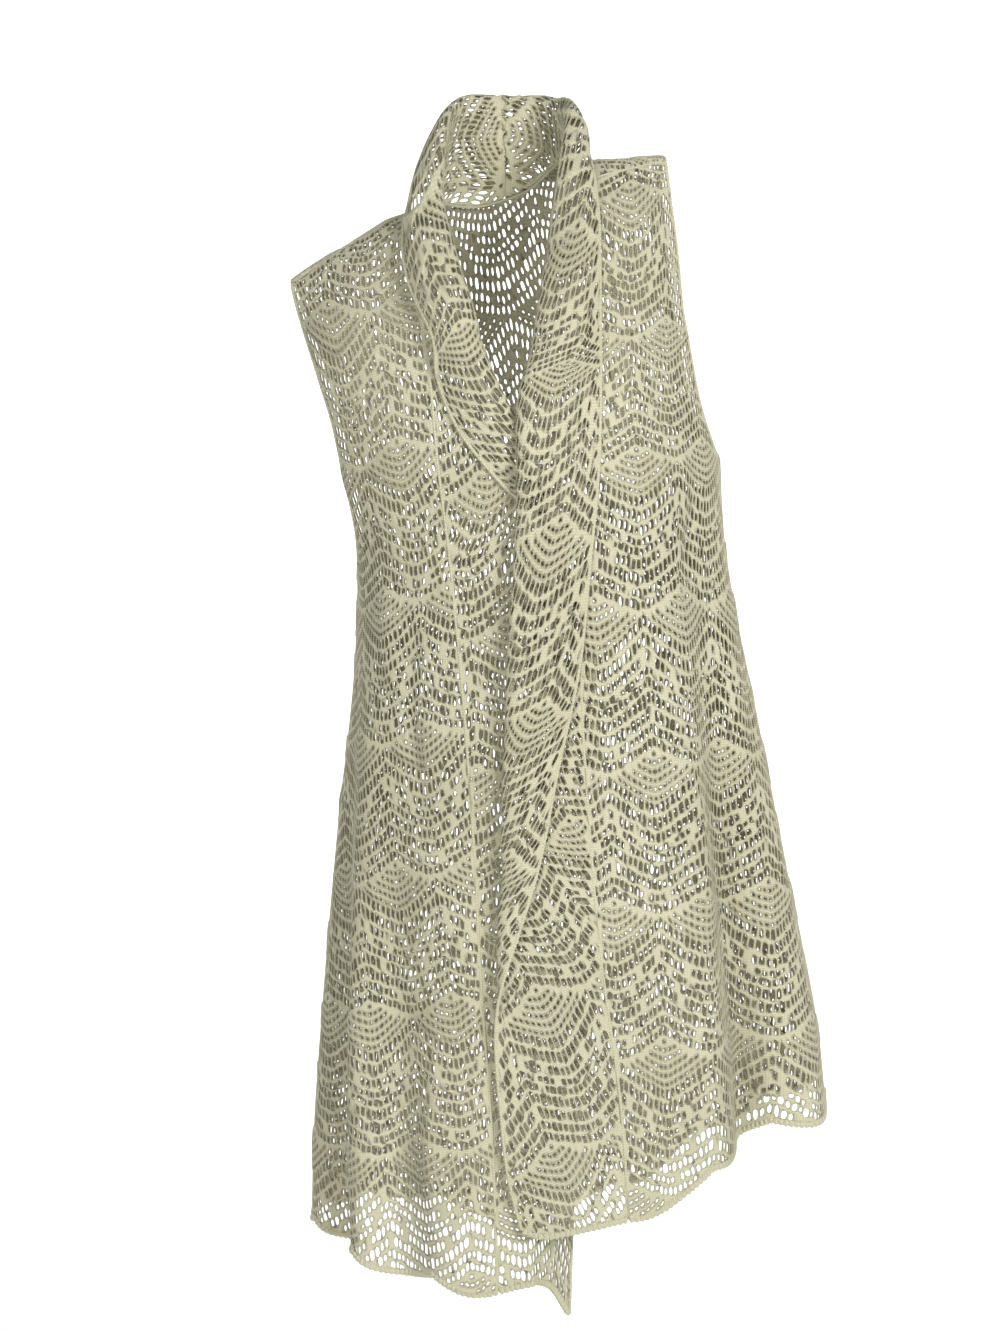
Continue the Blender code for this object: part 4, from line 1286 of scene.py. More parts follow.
@dataclass
class BackPanel(FormPanel):
    """The back, from the neck and shoulder seams to the hem and from side to side."""

    split_blocks: tuple[int, int] = (3, 5)
    spare: int = 5
    face = Face.BACK

    def __post_init__(self) -> None:
        """Tabulate the outline: the two outer girths by level, top and hem levels by girth."""
        form, self.fit = self.form, BACK_FIT
        self.near = -form.outer_girth(OUTLINE_LEVELS, self.face, Hand.RIGHT)
        self.far = form.outer_girth(OUTLINE_LEVELS, self.face, Hand.LEFT)
        reach = form.shoulder_half + SHOULDER_SPARE
        sides = np.linspace(-reach, reach, 420)
        top = self.top_level(sides)
        girth = form.girth_of(sides, top, self.face)
        order = np.argsort(girth)
        self.top, self.top_girth = top[order], girth[order]
        self.hem_girth = np.linspace(-WIDEST_HEM, WIDEST_HEM, 800)
        right, left = (form.hem_level(self.hem_girth, self.face, hand) for hand in Hand)
        self.hem = np.where(self.hem_girth < 0, right, left)

    def top_level(self, side: Array) -> Array:
        """Level at which the back starts: its distance below the shoulder line, and half a seam."""
        return self.form.shoulder_level(side, self.face) + self.top_drop(side) + self.form.seam_gap / 2

    def top_drop(self, side: Array) -> Array:
        """How far down the cloth from the shoulder line the back starts: a cubic dip for the neck."""
        first, last = NECK_POINT[Hand.RIGHT], NECK_POINT[Hand.LEFT]
        middle, half = (first + last) / 2, (last - first) / 2
        beside = np.clip(np.abs(side - middle) / half, 0.0, 1.0) ** 3
        right, left = (self.form.seam_forward(side, hand) for hand in Hand)
        return self.form.back_neck_depth * (1 - beside) - np.where(side < middle, right, left) * beside

    def build(self, chart: LaceChart) -> list[bpy.types.Object]:
        """Knit the back in three pieces, which meet between two blocks of rows.

        Args:
            chart: the lace.

        Returns:
            The upper, middle and lower objects.
        """
        top, foot = self.ends()
        knitting = self.lattice(chart, (self.near.min(), top), (self.far.max(), foot), self.spare)
        first, last = knitting.columns
        per_block = chart.per_block * (last - first + 1)
        high, low = ((block - knitting.blocks[0]) * per_block for block in self.split_blocks)
        pieces = []
        for word, start, end in (("upper", 0, high), ("middle", high, low), ("lower", low, None)):
            self.name = f"back_lace_{word}"
            pieces.append(self.cut(knitting, slice(start, end)))
        return pieces

    def outline(self, part: str, hand: Hand = Hand.RIGHT) -> tuple[Array, Array]:
        """Points and normals along one edge of the back: an armhole, the hem or the neck."""
        if part == "armhole":
            tip = np.array([self.form.shoulder_half * hand.value])
            start = (self.form.shoulder_level(tip, self.face) + self.top_drop(tip))[0]
            level = np.linspace(start, ARMHOLE_LEVEL[hand], 240)
            girth = np.interp(level, OUTLINE_LEVELS, self.near if hand is Hand.RIGHT else self.far)
        elif part == "hem":
            right = np.interp(HEM_SIDE[Hand.RIGHT], OUTLINE_LEVELS, self.near)
            left = np.interp(HEM_SIDE[Hand.LEFT], OUTLINE_LEVELS, self.far)
            girth = np.linspace(right, left, 560)
            level = np.interp(girth, self.hem_girth, self.hem)
        else:
            girth = np.linspace(NECK_POINT[Hand.RIGHT], NECK_POINT[Hand.LEFT], 200)
            level = np.interp(girth, self.top_girth, self.top)
        return self.surface(girth, level)


@dataclass
class FrontBand(LacePanel):
    """One long front band, from the hem up the front and round half of the back of the neck.

    Its surface is a grid of sections across, joined by smooth curves along and across. The chart
    runs down the band, and leans so that the fans stand above each other. Places on its form are
    the distance from the seam and the run up the band. The gaps keep it off its neighbours, and
    the soft ripple is a product of two sines, of run and of both.
    """

    hand: Hand = Hand.RIGHT
    wall: float = 0.0018
    band_gap: float = 0.0003
    neck_gap: float = 0.0007
    middle_gap: float = 0.0007
    lean_room: float = 1.5
    inside_step: float = 0.012
    below_step: float = 0.03
    rows_front: int = 300
    rows_neck: int = 70
    samples: int = 97
    gap_samples: float = 5.0
    hem_passes: int = 4
    spare: int = 3
    ripple: float = 0.0011
    ripple_waves: tuple[float, float, float] = (31.0, 38.0, 9.0)
    ripple_edge: float = 0.02
    ripple_end: float = 0.03

    def __post_init__(self) -> None:
        """Work out the band's surface and how the chart lies on it."""
        self.front = FrontPanel(name="pattern", form=self.form, hand=self.hand)
        self.back = BackPanel(name="pattern", form=self.form)
        edge, facing_out, inward, self.levels = self.sewn_edge()
        self.run = run_along(edge)
        self.even_grid(self.sections(edge, facing_out, inward))
        self.lie()

    def sewn_edge(self) -> tuple[Array, Array, Array, Array]:
        """The edge of the panels that the band is sewn to, hem first.

        Returns:
            Points, outward normals, directions into the panels, and the front's levels.
        """
        form, hand, front = self.form, self.hand, self.front
        top = form.shoulder_level(np.array([abs(NECK_POINT[hand])]), Face.FRONT)[0]
        top += SEAM_FORWARD[hand][0] + form.seam_gap / 2
        hem = HEM_SIDE[hand]
        for _ in range(self.hem_passes):
            near = np.interp(hem, OUTLINE_LEVELS, front.near)
            hem = float(form.hem_level(np.array([near]), Face.FRONT, hand)[0])
        levels = np.linspace(hem, top, self.rows_front)
        girth = np.interp(levels, OUTLINE_LEVELS, front.near) * hand.value
        points, normal = front.uncreased(girth, levels)
        beside, _ = front.uncreased(girth + self.inside_step * hand.value, levels)

        middle = (NECK_POINT[Hand.RIGHT] + NECK_POINT[Hand.LEFT]) / 2
        sides = np.linspace(NECK_POINT[hand], middle, self.rows_neck + 1)[1:]
        neck_level = self.back.top_level(sides)
        neck_girth = form.girth_of(sides, neck_level, Face.BACK)
        neck, neck_normal = self.back.uncreased(neck_girth, neck_level)
        below = form.point(neck_girth, neck_level + self.below_step, Face.BACK)
        edge = np.concatenate([points, neck])
        inward = unit(np.concatenate([beside, below]) - edge)
        return edge, np.concatenate([normal, neck_normal]), inward, levels

    def front_section(self, row: Array) -> Array:
        """Seven points across the band on the front, which follow the form from seam to free edge.

        Args:
            row: level, fold sideways and out, edge sideways and out, the edge's drop, the roll.

        Returns:
            Seven points.
        """
        level, fold_side, fold_out, edge_side, edge_out, drop, roll = row
        at = np.array([level])
        seam_at = self.front.seam_side(at)
        seam_out = self.front.lift(self.form.girth_of(seam_at, at, Face.FRONT), at)
        share = SECTION_SHARES
        first, past = share <= 1, share - 1
        sides = seam_at + (fold_side - seam_at) * share
        sides = np.where(first, sides, fold_side + (edge_side - fold_side) * past)
        outs = seam_out + (fold_out - seam_out) * share
        outs = np.where(first, outs, fold_out + (edge_out - fold_out) * past) + roll * FRONT_ROLL
        levels = level + drop * np.clip(past, 0, 1) ** 2
        girth = self.form.girth_of(sides, levels, Face.FRONT)
        normal = self.form.normal(girth, levels, Face.FRONT)
        return self.form.point(girth, levels, Face.FRONT) + normal * outs[:, None]

    @staticmethod
    def collar_section(seam: Array, row: Array) -> Array:
        """Seven points across the band where it stands round the neck and falls outwards.

        Args:
            seam: the seam's point.
            row: place along, fold, free edge and roll.

        Returns:
            Seven points.
        """
        fold, edge, roll = row[1:4], row[4:7], row[7]
        rise = fold - seam
        outward = np.array([fold[0], fold[1], 0.0])
        outward = unit(outward - rise * np.dot(outward, rise) / np.dot(rise, rise))
        share = SECTION_SHARES[:, None]
        points = np.where(share <= 1, seam + rise * share, fold + (edge - fold) * (share - 1))
        return points + outward * (roll * COLLAR_ROLL)[:, None]

    def sections(self, edge: Array, facing_out: Array, inward: Array) -> Array:
        """The band's surface: smooth curves through the sections, along and then across.

        Near the seam the surface is moved off the panels by a gap and by what the wall needs,
        which depends on how the band turns away there and how it leans into them.

        Args:
            edge: points of the sewn edge.
            facing_out: outward normals there.
            inward: directions into the panels there.

        Returns:
            A grid of points, up the band and out from its seam.
        """
        run, count = self.run, len(self.levels)
        rows = BAND_SECTIONS[self.hand]
        found = [self.front_section(row) for row in rows]
        places = list(np.interp(-rows[:, 0], -self.levels, run[:count]))
        for row in COLLAR_SECTIONS[self.hand]:
            place = min(run[count - 1] + row[0], run[-1])
            found.append(self.collar_section(along(place, run, edge), row))
            places.append(place)
        table = np.column_stack([places, np.array(found).reshape(len(places), -1)])
        wide = len(SECTION_SHARES)
        ribs = np.moveaxis(smooth_rows(table, run), 0, -1).reshape(len(run), wide, 3)
        ribs[:, 0] = edge
        table = np.column_stack([np.arange(float(wide)), ribs.transpose(1, 0, 2).reshape(wide, -1)])
        across = np.linspace(0.0, wide - 1.0, self.samples)
        grid = np.moveaxis(smooth_rows(table, across), 0, -1).reshape(len(across), len(run), 3)
        grid = grid.transpose(1, 0, 2).copy()
        grid[-1, :, 0] = edge[-1, 0] + self.hand.value * self.middle_gap
        seam_way = unit(np.gradient(edge, axis=0))
        away = grid[:, 1] - grid[:, 0]
        away = unit(away - seam_way * np.sum(away * seam_way, axis=1, keepdims=True))
        turned = np.sqrt(np.abs(np.sum(away * facing_out, axis=1)))
        leaning = np.clip(np.sum(away * inward, axis=1), 0.0, 1.0)
        gap = np.where(np.arange(len(edge)) < count, self.band_gap, self.neck_gap)
        shift = away * (gap + self.wall / 2 * (turned + self.lean_room * leaning))[:, None]
        fade = np.clip(1 - np.arange(self.samples) / self.gap_samples, 0.0, 1.0)[None, :, None]
        return grid + shift[:, None] * fade

    def even_grid(self, grid: Array) -> None:
        """Space each section's points evenly by length, and find the outward normals."""
        wanted = np.linspace(0.0, 1.0, self.samples)
        self.width = np.empty(len(grid))
        for i, row in enumerate(grid):
            length = run_along(row)
            self.width[i] = length[-1]
            grid[i] = along(wanted, length / length[-1], row)
        across, up = np.gradient(grid, axis=1), np.gradient(grid, axis=0)
        right = self.hand is Hand.RIGHT
        self.normals = unit(np.cross(across, up) if right else np.cross(up, across))
        self.grid = grid

    def lie(self) -> None:
        """Tabulate the chart's distance down and its middle line for each row of the grid."""
        table = BAND_LIE[self.hand]
        level_run = np.interp(-table[:, 0], -self.levels, self.run[: len(self.levels)])
        order = np.argsort(level_run)
        knots, down = level_run[order], table[order, 1]
        far_knots = np.concatenate([[knots[0] - 1.0], knots, [knots[-1] + 1.0]])
        far_down = np.concatenate([[down[0] + 1.0], down, [down[-1] - 1.0]])
        self.down = np.interp(self.run, far_knots, far_down)
        self.middle = np.interp(self.run, knots, table[order, 2]) * self.width

    def to_form(self, places: Array) -> tuple[Array, Array]:
        """Distance from the seam and run up the band of chart places."""
        down = places[:, 1] + BAND_TILT[self.hand] * places[:, 0]
        outside = down - np.clip(down, self.down[-1], self.down[0])
        run = np.interp(-down, -self.down, self.run) - outside
        middle = np.interp(run, self.run, self.middle)
        return places[:, 0] + middle - BAND_LEAN[self.hand] * down, run

    def to_chart(self, out: Array, run: Array) -> Array:
        """Chart places of distances from the seam and runs."""
        down = np.interp(run, self.run, self.down)
        across = out - np.interp(run, self.run, self.middle) + BAND_LEAN[self.hand] * down
        return np.stack([across, down - BAND_TILT[self.hand] * across], -1)

    def clip(self, places: Array) -> Array:
        """Move chart places outside the band to its outline."""
        out, run = self.to_form(places)
        run = np.clip(run, 0.0, self.run[-1])
        return self.to_chart(np.clip(out, 0.0, np.interp(run, self.run, self.width)), run)

    def surface(self, out: Array, run: Array) -> tuple[Array, Array]:
        """Points and outward normals of the band, mixed from the four nearest grid points."""
        row = np.interp(run, self.run, np.arange(len(self.run)))
        column = np.clip(out / np.interp(run, self.run, self.width), 0.0, 1.0) * (self.samples - 1)
        points, normals = between(self.grid, row, column), unit(between(self.normals, row, column))
        up, across, slant = self.ripple_waves
        ripple = np.sin(run * up + 2.0 * self.hand.value) * np.sin(out * across + run * slant)
        inner = smooth_step(out / self.ripple_edge) * smooth_step((self.run[-1] - run) / self.ripple_end)
        return points + normals * (self.ripple * ripple * inner)[:, None], normals

    def build(self, chart: LaceChart) -> list[bpy.types.Object]:
        """Knit the band.

        Args:
            chart: the lace.

        Returns:
            The band's object.
        """
        outs = (np.zeros_like(self.run), self.width)
        edges = np.concatenate([self.to_chart(out, self.run) for out in outs])
        return [self.cut(self.lattice(chart, edges.min(axis=0), edges.max(axis=0), self.spare))]

    def outline(self, part: str) -> tuple[Array, Array]:
        """Points and normals along the free edge, the hem or the end at the back of the neck."""
        if part == "free":
            run = np.linspace(0.0, self.run[-1], 700)
            return self.surface(np.interp(run, self.run, self.width), run)
        end = 0 if part == "hem" else -1
        out = np.linspace(0.0, self.width[end], 60)
        return self.surface(out, np.full_like(out, self.run[end]))


@dataclass(frozen=True)
class Cord:
    """A worked edge or a seam's ridge: an oval profile carried along a path on the cloth.

    The profile's point at angle a is the path's point plus half_width cos(a) sideways and
    half_thick sin(a) outwards. A beaded cord's size swells by bead sin^2 along its length, and
    its ends are round.
    """

    half_width: float
    half_thick: float
    out: float = 0.0
    bead: float = 0.0
    bead_length: float = 0.0047
    bead_steps: int = 5
    step: float = 0.003
    sides: int = 8

    def sweep(self, points: Array, normals: Array) -> tuple[Array, Array, Array]:
        """Carry the profile along the path.

        Args:
            points: the path.
            normals: outward normals along it.

        Returns:
            Vertices, triangles and a chart place for each corner of each triangle.
        """
        run = run_along(points)
        step = self.bead_length / self.bead_steps if self.bead else self.step
        count = max(4, int(run[-1] / step))
        at = np.linspace(0.0, run[-1], count)
        path = along(at, run, points)
        side = unit(np.cross(unit(np.gradient(path, axis=0)), unit(along(at, run, normals))))
        normal = np.cross(side, unit(np.gradient(path, axis=0)))
        angle = np.arange(self.sides) * 2 * np.pi / self.sides
        size = 1 + self.bead * (np.sin(np.pi * at / self.bead_length) ** 2 - 0.5)
        ends = np.clip(np.minimum(at, run[-1] - at) / self.half_thick, 0.0, 1.0)
        size = size * np.sqrt(np.clip(1 - (1 - ends) ** 2, 0.01, 1.0))
        wide = self.half_width * np.cos(angle)[None, :, None] * side[:, None]
        thick = self.half_thick * np.sin(angle)[None, :, None] * normal[:, None]
        middle = path + normal * self.out
        rings = middle[:, None] + (wide + thick) * size[:, None, None]
        index = np.arange(count * self.sides).reshape(count, self.sides)
        turn = np.roll(index, -1, axis=1)
        quads = np.stack([index[:-1], index[1:], turn[1:], turn[:-1]], -1).reshape(-1, 4)
        first = np.stack([np.zeros(self.sides - 2, int), index[0, 1:-1], index[0, 2:]], -1)
        last = np.stack([np.full(self.sides - 2, index[-1, 0]), index[-1, 2:], index[-1, 1:-1]], -1)
        triangles = np.concatenate([quads[:, [0, 1, 2]], quads[:, [0, 2, 3]], first, last])
        return rings.reshape(-1, 3), triangles, self.chart_places(angle, at, triangles)

    def chart_places(self, angle: Array, at: Array, triangles: Array) -> Array:
        """Lay the cord's skin flat: round it and along it, unbroken where the round closes.

        Args:
            angle: angles of the profile's points.
            at: distances of the rings along the cord.
            triangles: the cord's triangles.

        Returns:
            A place for each corner of each triangle.
        """
        half_round = self.half_width + self.half_thick
        around = np.broadcast_to(angle / np.pi * half_round, (len(at), self.sides))
        places = np.stack([around.reshape(-1), np.repeat(at, self.sides)], -1)[triangles]
        closing = np.ptp(places[..., 0], axis=1) > 1.5 * half_round
        low = closing[:, None] & (places[..., 0] < 0.1 * half_round)
        places[..., 0] += np.where(low, 2 * half_round, 0.0)
        return places


def make_trim(name: str, runs: list[tuple[Cord, tuple[Array, Array]]]) -> bpy.types.Object:
    """Join the worked edges and seam ridges of one panel in one piece.

    Args:
        name: piece name.
        runs: each cord, with the points and normals of its path.

    Returns:
        The trim's object.
    """
    vertices, triangles, places, start = [], [], [], 0
    for cord, path in runs:
        found, faces, chart = cord.sweep(*path)
        vertices.append(found)
        triangles.append(faces + start)
        places.append(chart)
        start += len(found)
    maps = {"Chart": np.concatenate(places)}
    return solid_mesh(name, np.concatenate(vertices), np.concatenate(triangles), maps, np.zeros(start))


class Nodes:
    """A short way to wire a material's nodes."""

    def __init__(self, material: bpy.types.Material) -> None:
        """Start from the material's own shader."""
        material.use_nodes = True
        self.tree = material.node_tree
        self.shader = self.tree.nodes["Principled BSDF"]

    def add(
        self, kind: str, links: dict[str | int, object] | None = None, **settings: object
    ) -> bpy.types.Node:
        """Add a node, set its own settings, and set or link its inputs.

        Args:
            kind: node type, without the words that all the shader nodes' types start with.
            links: input name or number, with a value or another node's output.
            settings: the node's own properties.

        Returns:
            The new node.
        """
        node = self.tree.nodes.new("ShaderNode" + kind)
        for name, value in settings.items():
            setattr(node, name, value)
        for name, value in (links or {}).items():
            self.feed(node, name, value)
        return node

    def feed(self, node: bpy.types.Node, name: str | int, value: object) -> None:
        """Link another node's output to an input, or set the input's own value."""
        if isinstance(value, bpy.types.NodeSocket):
            self.tree.links.new(value, node.inputs[name])
        else:
            node.inputs[name].default_value = value

    def sum(self, operation: str, first: object, second: object = 0.0) -> bpy.types.NodeSocket:
        """The output of a Math node."""
        return self.add("Math", {0: first, 1: second}, operation=operation).outputs[0]

    def plus(self, first: object, second: object) -> bpy.types.NodeSocket:
        """The sum of two values."""
        return self.sum("ADD", first, second)

    def times(self, first: object, second: object) -> bpy.types.NodeSocket:
        """The product of two values."""
        return self.sum("MULTIPLY", first, second)

    def less(self, first: object, second: object) -> bpy.types.NodeSocket:
        """The first value less the second."""
        return self.sum("SUBTRACT", first, second)

    def mix(self, factor: object, first: object, second: object) -> bpy.types.NodeSocket:
        """The colour output of a Mix node."""
        return self.add("Mix", {0: factor, 6: first, 7: second}, data_type="RGBA").outputs[2]


@dataclass(frozen=True)
class CottonYarn:
    """Matte cotton knitting: pale sage beige, with V stitches, soft fuzz and slow colour drift.

    Wale and course are a stitch's width and height, and the scales are those of the noises.
    """

    name: str
    light: tuple[float, float, float, float] = (0.735, 0.705, 0.510, 1.0)
    dark: tuple[float, float, float, float] = (0.610, 0.585, 0.400, 1.0)
    # Painted shade: a dark colour mixed into the stitch hollows, the holes' rims and the inner sheet.
    painted_shade_colour: tuple[float, float, float, float] = (0.150, 0.130, 0.080, 1.0)
    wale: float = 0.00222
    course: float = 0.0021
    wander_scale: float = 170.0
    wander: float = 0.9
    ridge: float = 0.55
    fuzz_scale: float = 1500.0
    fuzz: float = 0.45
    drift_scale: float = 7.0
    drift_low: float = 0.3
    drift_contrast: float = 2.2
    # Shares of painted shade in the stitch hollows and where the rim attribute is set.
    low_shade: float = 0.30
    rim_shade: float = 0.50
    bump: float = 0.55
    depth: float = 0.0004
    roughness: float = 0.86
    rough_fuzz: float = 0.10
    sheen: float = 0.18
    sheen_roughness: float = 0.5
    shine: float = 0.25

    def build(self) -> bpy.types.Material:
        """Make the node material.

        The stitch height is a sine down the knitting, bent into a V on each wale, times a half
        round across the wale. Its hollows, the rims of the holes and the inner sheet take painted
        shade: they are mixed towards the painted shade colour.

        Returns:
            The material.
        """
        material = bpy.data.materials.new(self.name)
        nodes = Nodes(material)
        plus, times, less = nodes.plus, nodes.times, nodes.less
        chart = nodes.add("SeparateXYZ", {0: nodes.add("UVMap", uv_map="Chart").outputs["UV"]})
        across = nodes.sum("FRACT", nodes.sum("DIVIDE", chart.outputs[0], self.wale))
        down = nodes.sum("DIVIDE", chart.outputs[1], self.course)
        place = nodes.add("TexCoord").outputs["Object"]

        def noise(scale: float, detail: float, **inputs: float) -> bpy.types.NodeSocket:
            """The value of a noise in the object's own space."""
            sockets = {"Vector": place, "Scale": scale, "Detail": detail, **inputs}
            return nodes.add("TexNoise", sockets).outputs[0]

        zig = nodes.sum("ABSOLUTE", less(across, 0.5))
        bent = plus(down, plus(zig, times(noise(self.wander_scale, 2.0), self.wander)))
        wave = nodes.sum("SINE", times(bent, 2 * math.pi))
        round_wale = nodes.sum("SINE", times(across, math.pi))
        height = times(times(plus(wave, 1.0), 0.5), plus(times(round_wale, self.ridge), 1 - self.ridge))
        fuzz = noise(self.fuzz_scale, 3.0)
        raised = plus(height, times(fuzz, self.fuzz))
        bumps = {"Height": raised, "Strength": self.bump, "Distance": self.depth}
        drift = times(less(noise(self.drift_scale, 4.0, Roughness=0.6), self.drift_low), self.drift_contrast)
        # Painted shade: the rim attribute, full at the holes' rims and a share on the inner sheet, and the
        # stitch hollows.
        rim = nodes.add("Attribute", attribute_name="rim").outputs["Fac"]
        painted_shade_share = plus(times(less(1.0, height), self.low_shade), times(rim, self.rim_shade))
        finish = {
            "Base Color": nodes.mix(painted_shade_share, nodes.mix(drift, self.dark, self.light), self.painted_shade_colour),
            "Roughness": plus(self.roughness, times(fuzz, self.rough_fuzz)),
            "Normal": nodes.add("Bump", bumps).outputs[0],
            "Sheen Weight": self.sheen,
            "Sheen Roughness": self.sheen_roughness,
            "Specular IOR Level": self.shine,
        }
        for name, value in finish.items():
            nodes.feed(nodes.shader, name, value)
        return material


@dataclass(frozen=True)
class Lamp:
    """A square soft lamp: its place, power, size and the place that it faces."""

    name: str
    place: tuple[float, float, float]
    power: float
    size: float
    aim_at: tuple[float, float, float] = (0.03, 0.0, -0.45)

    def build(self) -> bpy.types.Object:
        """Hang the lamp and turn it to what it lights."""
        data = bpy.data.lights.new(self.name, "AREA")
        data.energy = self.power
        data.size = self.size
        lamp = bpy.data.objects.new(self.name, data)
        bpy.context.collection.objects.link(lamp)
        lamp.location = self.place
        x, y, z = np.array(self.aim_at) - np.array(self.place)
        lamp.rotation_euler = (math.atan2(math.hypot(x, y), -z), 0.0, math.atan2(-x, y))
        return lamp


LAMPS = (
    Lamp("lamp_key", (1.5, -2.5, 0.8), 74.0, 1.1),
    Lamp("lamp_fill", (-1.2, -2.7, 0.4), 36.0, 1.6),
    Lamp("lamp_paper_right", (-2.4, 1.6, 1.2), 95.0, 1.2, (-1.0, 3.4, 0.4)),
    Lamp("lamp_paper_left", (2.4, 1.6, 1.2), 95.0, 1.2, (1.0, 3.4, 0.4)),
)


@dataclass
class Studio:
    """Pale sweep of paper, soft lamps and the camera."""

    floor: float = -1.55
    front: float = -4.0
    bend: float = 2.2
    radius: float = 1.2
    height: float = 3.4
    half_width: float = 5.0
    bend_points: int = 24
    paper: tuple[float, float, float, float] = (0.93, 0.93, 0.93, 1.0)
    paper_roughness: float = 0.9
    air: tuple[float, float, float, float] = (1.0, 1.0, 1.0, 1.0)
    air_strength: float = 0.14
    camera_place: tuple[float, float, float] = (-0.0077, -2.3766, -0.0995)
    camera_tilt: float = 82.0
    lens: float = 72.0
    film: float = 36.0

    def sweep(self) -> bpy.types.Object:
        """The floor that bends up into the backdrop: a line, a quarter circle and a line.

        Returns:
            The sweep's object.
        """
        angle = np.linspace(0.0, np.pi / 2, self.bend_points)
        y = np.concatenate([[self.front], self.bend + self.radius * np.sin(angle), [self.bend + self.radius]])
        z = np.concatenate([[0.0], self.radius * (1 - np.cos(angle)), [self.height]]) + self.floor
        line = np.stack([np.zeros_like(y), y, z], -1)
        points = np.concatenate([line - (self.half_width, 0, 0), line + (self.half_width, 0, 0)])
        count = len(line)
        i = np.arange(count - 1)
        quads = np.stack([i, i + count, i + count + 1, i + 1], -1)
        mesh = bpy.data.meshes.new("studio_sweep")
        mesh.from_pydata(points.tolist(), [], quads.tolist())
        mesh.shade_smooth()
        sweep = bpy.data.objects.new("studio_sweep", mesh)
        bpy.context.collection.objects.link(sweep)
        material = bpy.data.materials.new("studio_paper")
        shader = Nodes(material).shader
        shader.inputs["Base Color"].default_value = self.paper
        shader.inputs["Roughness"].default_value = self.paper_roughness
        mesh.materials.append(material)
        return sweep

    def build(self) -> None:
        """Put up the sweep, the lamps, the sky's even light and the camera."""
        self.sweep()
        [lamp.build() for lamp in LAMPS]
        scene = bpy.context.scene
        scene.world = bpy.data.worlds.new("studio_air")
        scene.world.use_nodes = True
        air = scene.world.node_tree.nodes["Background"]
        air.inputs["Color"].default_value = self.air
        air.inputs["Strength"].default_value = self.air_strength
        data = bpy.data.cameras.new("camera")
        data.lens = self.lens
        data.sensor_fit = "VERTICAL"
        data.sensor_height = self.film
        camera = bpy.data.objects.new("camera", data)
        bpy.context.collection.objects.link(camera)
        camera.location = self.camera_place
        camera.rotation_euler = (math.radians(self.camera_tilt), 0.0, 0.0)
        scene.camera = camera
        scene.view_settings.view_transform = "Standard"


SELVAGE = Cord(half_width=0.0018, half_thick=0.0014, bead=0.25, bead_length=0.0044)
BAND_EDGE = Cord(half_width=0.0016, half_thick=0.0013, bead=0.25, bead_length=0.0044)
SEAM_RIDGE = Cord(half_width=0.0014, half_thick=0.0012, out=0.0003, step=0.004, sides=6)
HEM_CORD = Cord(half_width=0.0030, half_thick=0.0024, bead=0.40)
# The edges of each kind of panel, by the names that its outline has for them, and their cords.
BACK_EDGES = (
    (HEM_CORD, "hem"), (SELVAGE, "armhole", Hand.RIGHT), (SELVAGE, "armhole", Hand.LEFT),
    (SEAM_RIDGE, "neck"),
)
FRONT_EDGES = (
    (SEAM_RIDGE, "band"), (SEAM_RIDGE, "shoulder"), (SELVAGE, "armhole"), (SEAM_RIDGE, "side"),
    (HEM_CORD, "hem"),
)
BAND_EDGES = {
    Hand.RIGHT: ((BAND_EDGE, "free"), (HEM_CORD, "hem"), (SEAM_RIDGE, "neck")),
    Hand.LEFT: ((BAND_EDGE, "free"), (HEM_CORD, "hem")),
}


@dataclass(frozen=True)
class Cut:
    """Flat size that a piece of cloth was cut to, and how it is held and what it hangs from."""

    width: float
    length: float
    area: float
    held: str = "hung"
    rests_on: tuple[str, ...] = ()

    def declare(self, piece: bpy.types.Object, trims: list[bpy.types.Object]) -> None:
        """Make a list of the pieces that this one rests on, and do nothing more with it."""
        list(self.rests_on)


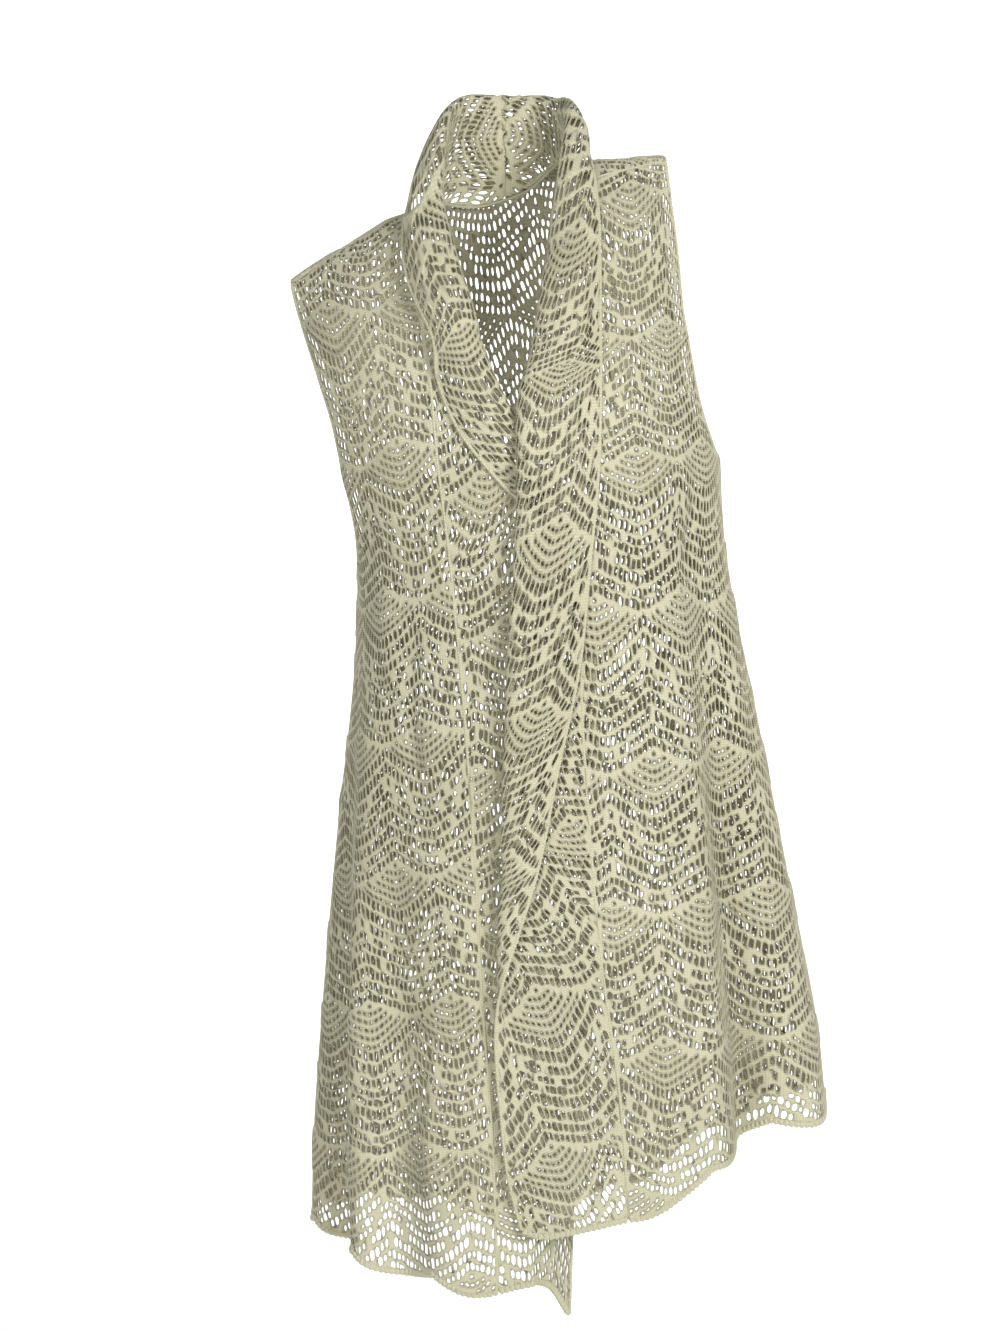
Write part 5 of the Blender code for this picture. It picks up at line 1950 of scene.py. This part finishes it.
CUTS = {
    "back_lace_upper": Cut(0.441, 0.482, 0.151),
    "back_lace_middle": Cut(0.542, 0.278, 0.122, rests_on=("back_lace_upper",)),
    "back_lace_lower": Cut(0.624, 0.366, 0.174, rests_on=("back_lace_middle",)),
    "front_right_lace": Cut(0.289, 0.985, 0.165, rests_on=("back_lace_upper",)),
    "front_left_lace": Cut(0.295, 0.927, 0.173, rests_on=("back_lace_upper",)),
    "band_right_lace": Cut(0.189, 1.074, 0.121, "folded", ("front_right_lace",)),
    "band_left_lace": Cut(0.182, 1.047, 0.126, "folded", ("front_left_lace",)),
}


@dataclass
class Vest:
    """The whole vest: five panels of lace and the trim of each."""

    form: WornForm = field(default_factory=WornForm)
    chart: LaceChart = field(default_factory=LaceChart)

    def dress(self, piece: bpy.types.Object, node: str, material: bpy.types.Material) -> None:
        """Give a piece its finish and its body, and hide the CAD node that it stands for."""
        piece.data.materials.append(material)
        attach(piece, "root")
        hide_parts(node)
        log.info("%s: %d triangles", piece.name, len(piece.data.polygons))

    def make(self, node: str, panel: LacePanel, edges: tuple[tuple, ...]) -> None:
        """Knit a panel, work its edges and dress both.

        Args:
            node: the CAD node that the panel stands for.
            panel: the panel.
            edges: each cord, with what names its edge in the panel's outline.
        """
        pieces = panel.build(self.chart)
        trim = make_trim(node + "_trim", [(cord, panel.outline(*edge)) for cord, *edge in edges])
        self.dress(trim, node, self.edging)
        for piece in pieces:
            self.dress(piece, node, self.lace)
            CUTS[piece.name].declare(piece, [trim] if piece is pieces[-1] else [])

    def build(self) -> None:
        """Make and dress every piece."""
        self.lace = CottonYarn("cotton_lace").build()
        self.edging = CottonYarn("cotton_edging", wale=0.0026, course=0.0024, bump=0.8).build()
        self.make("back", BackPanel("back", self.form, opened=0.66, seed=11), BACK_EDGES)
        for hand in Hand:
            word = hand.name.lower()
            front = FrontPanel(f"front_{word}_lace", self.form, hand=hand, seed=21)
            self.make("front_" + word, front, FRONT_EDGES)
            band = FrontBand(f"band_{word}_lace", self.form, hand=hand, inside_shade=0.0, seed=31)
            self.make("band_" + word, band, BAND_EDGES[hand])
            sizes = (band.width.min(), band.width.max(), band.run[-1])
            log.info("band %s: %.3f to %.3f wide, %.3f long", word, *sizes)


def main() -> None:
    """Build the vest and the studio."""
    logging.basicConfig(level=logging.INFO, format="%(name)s: %(message)s")
    Vest().build()
    Studio().build()


if __name__ == "__main__":
    main()
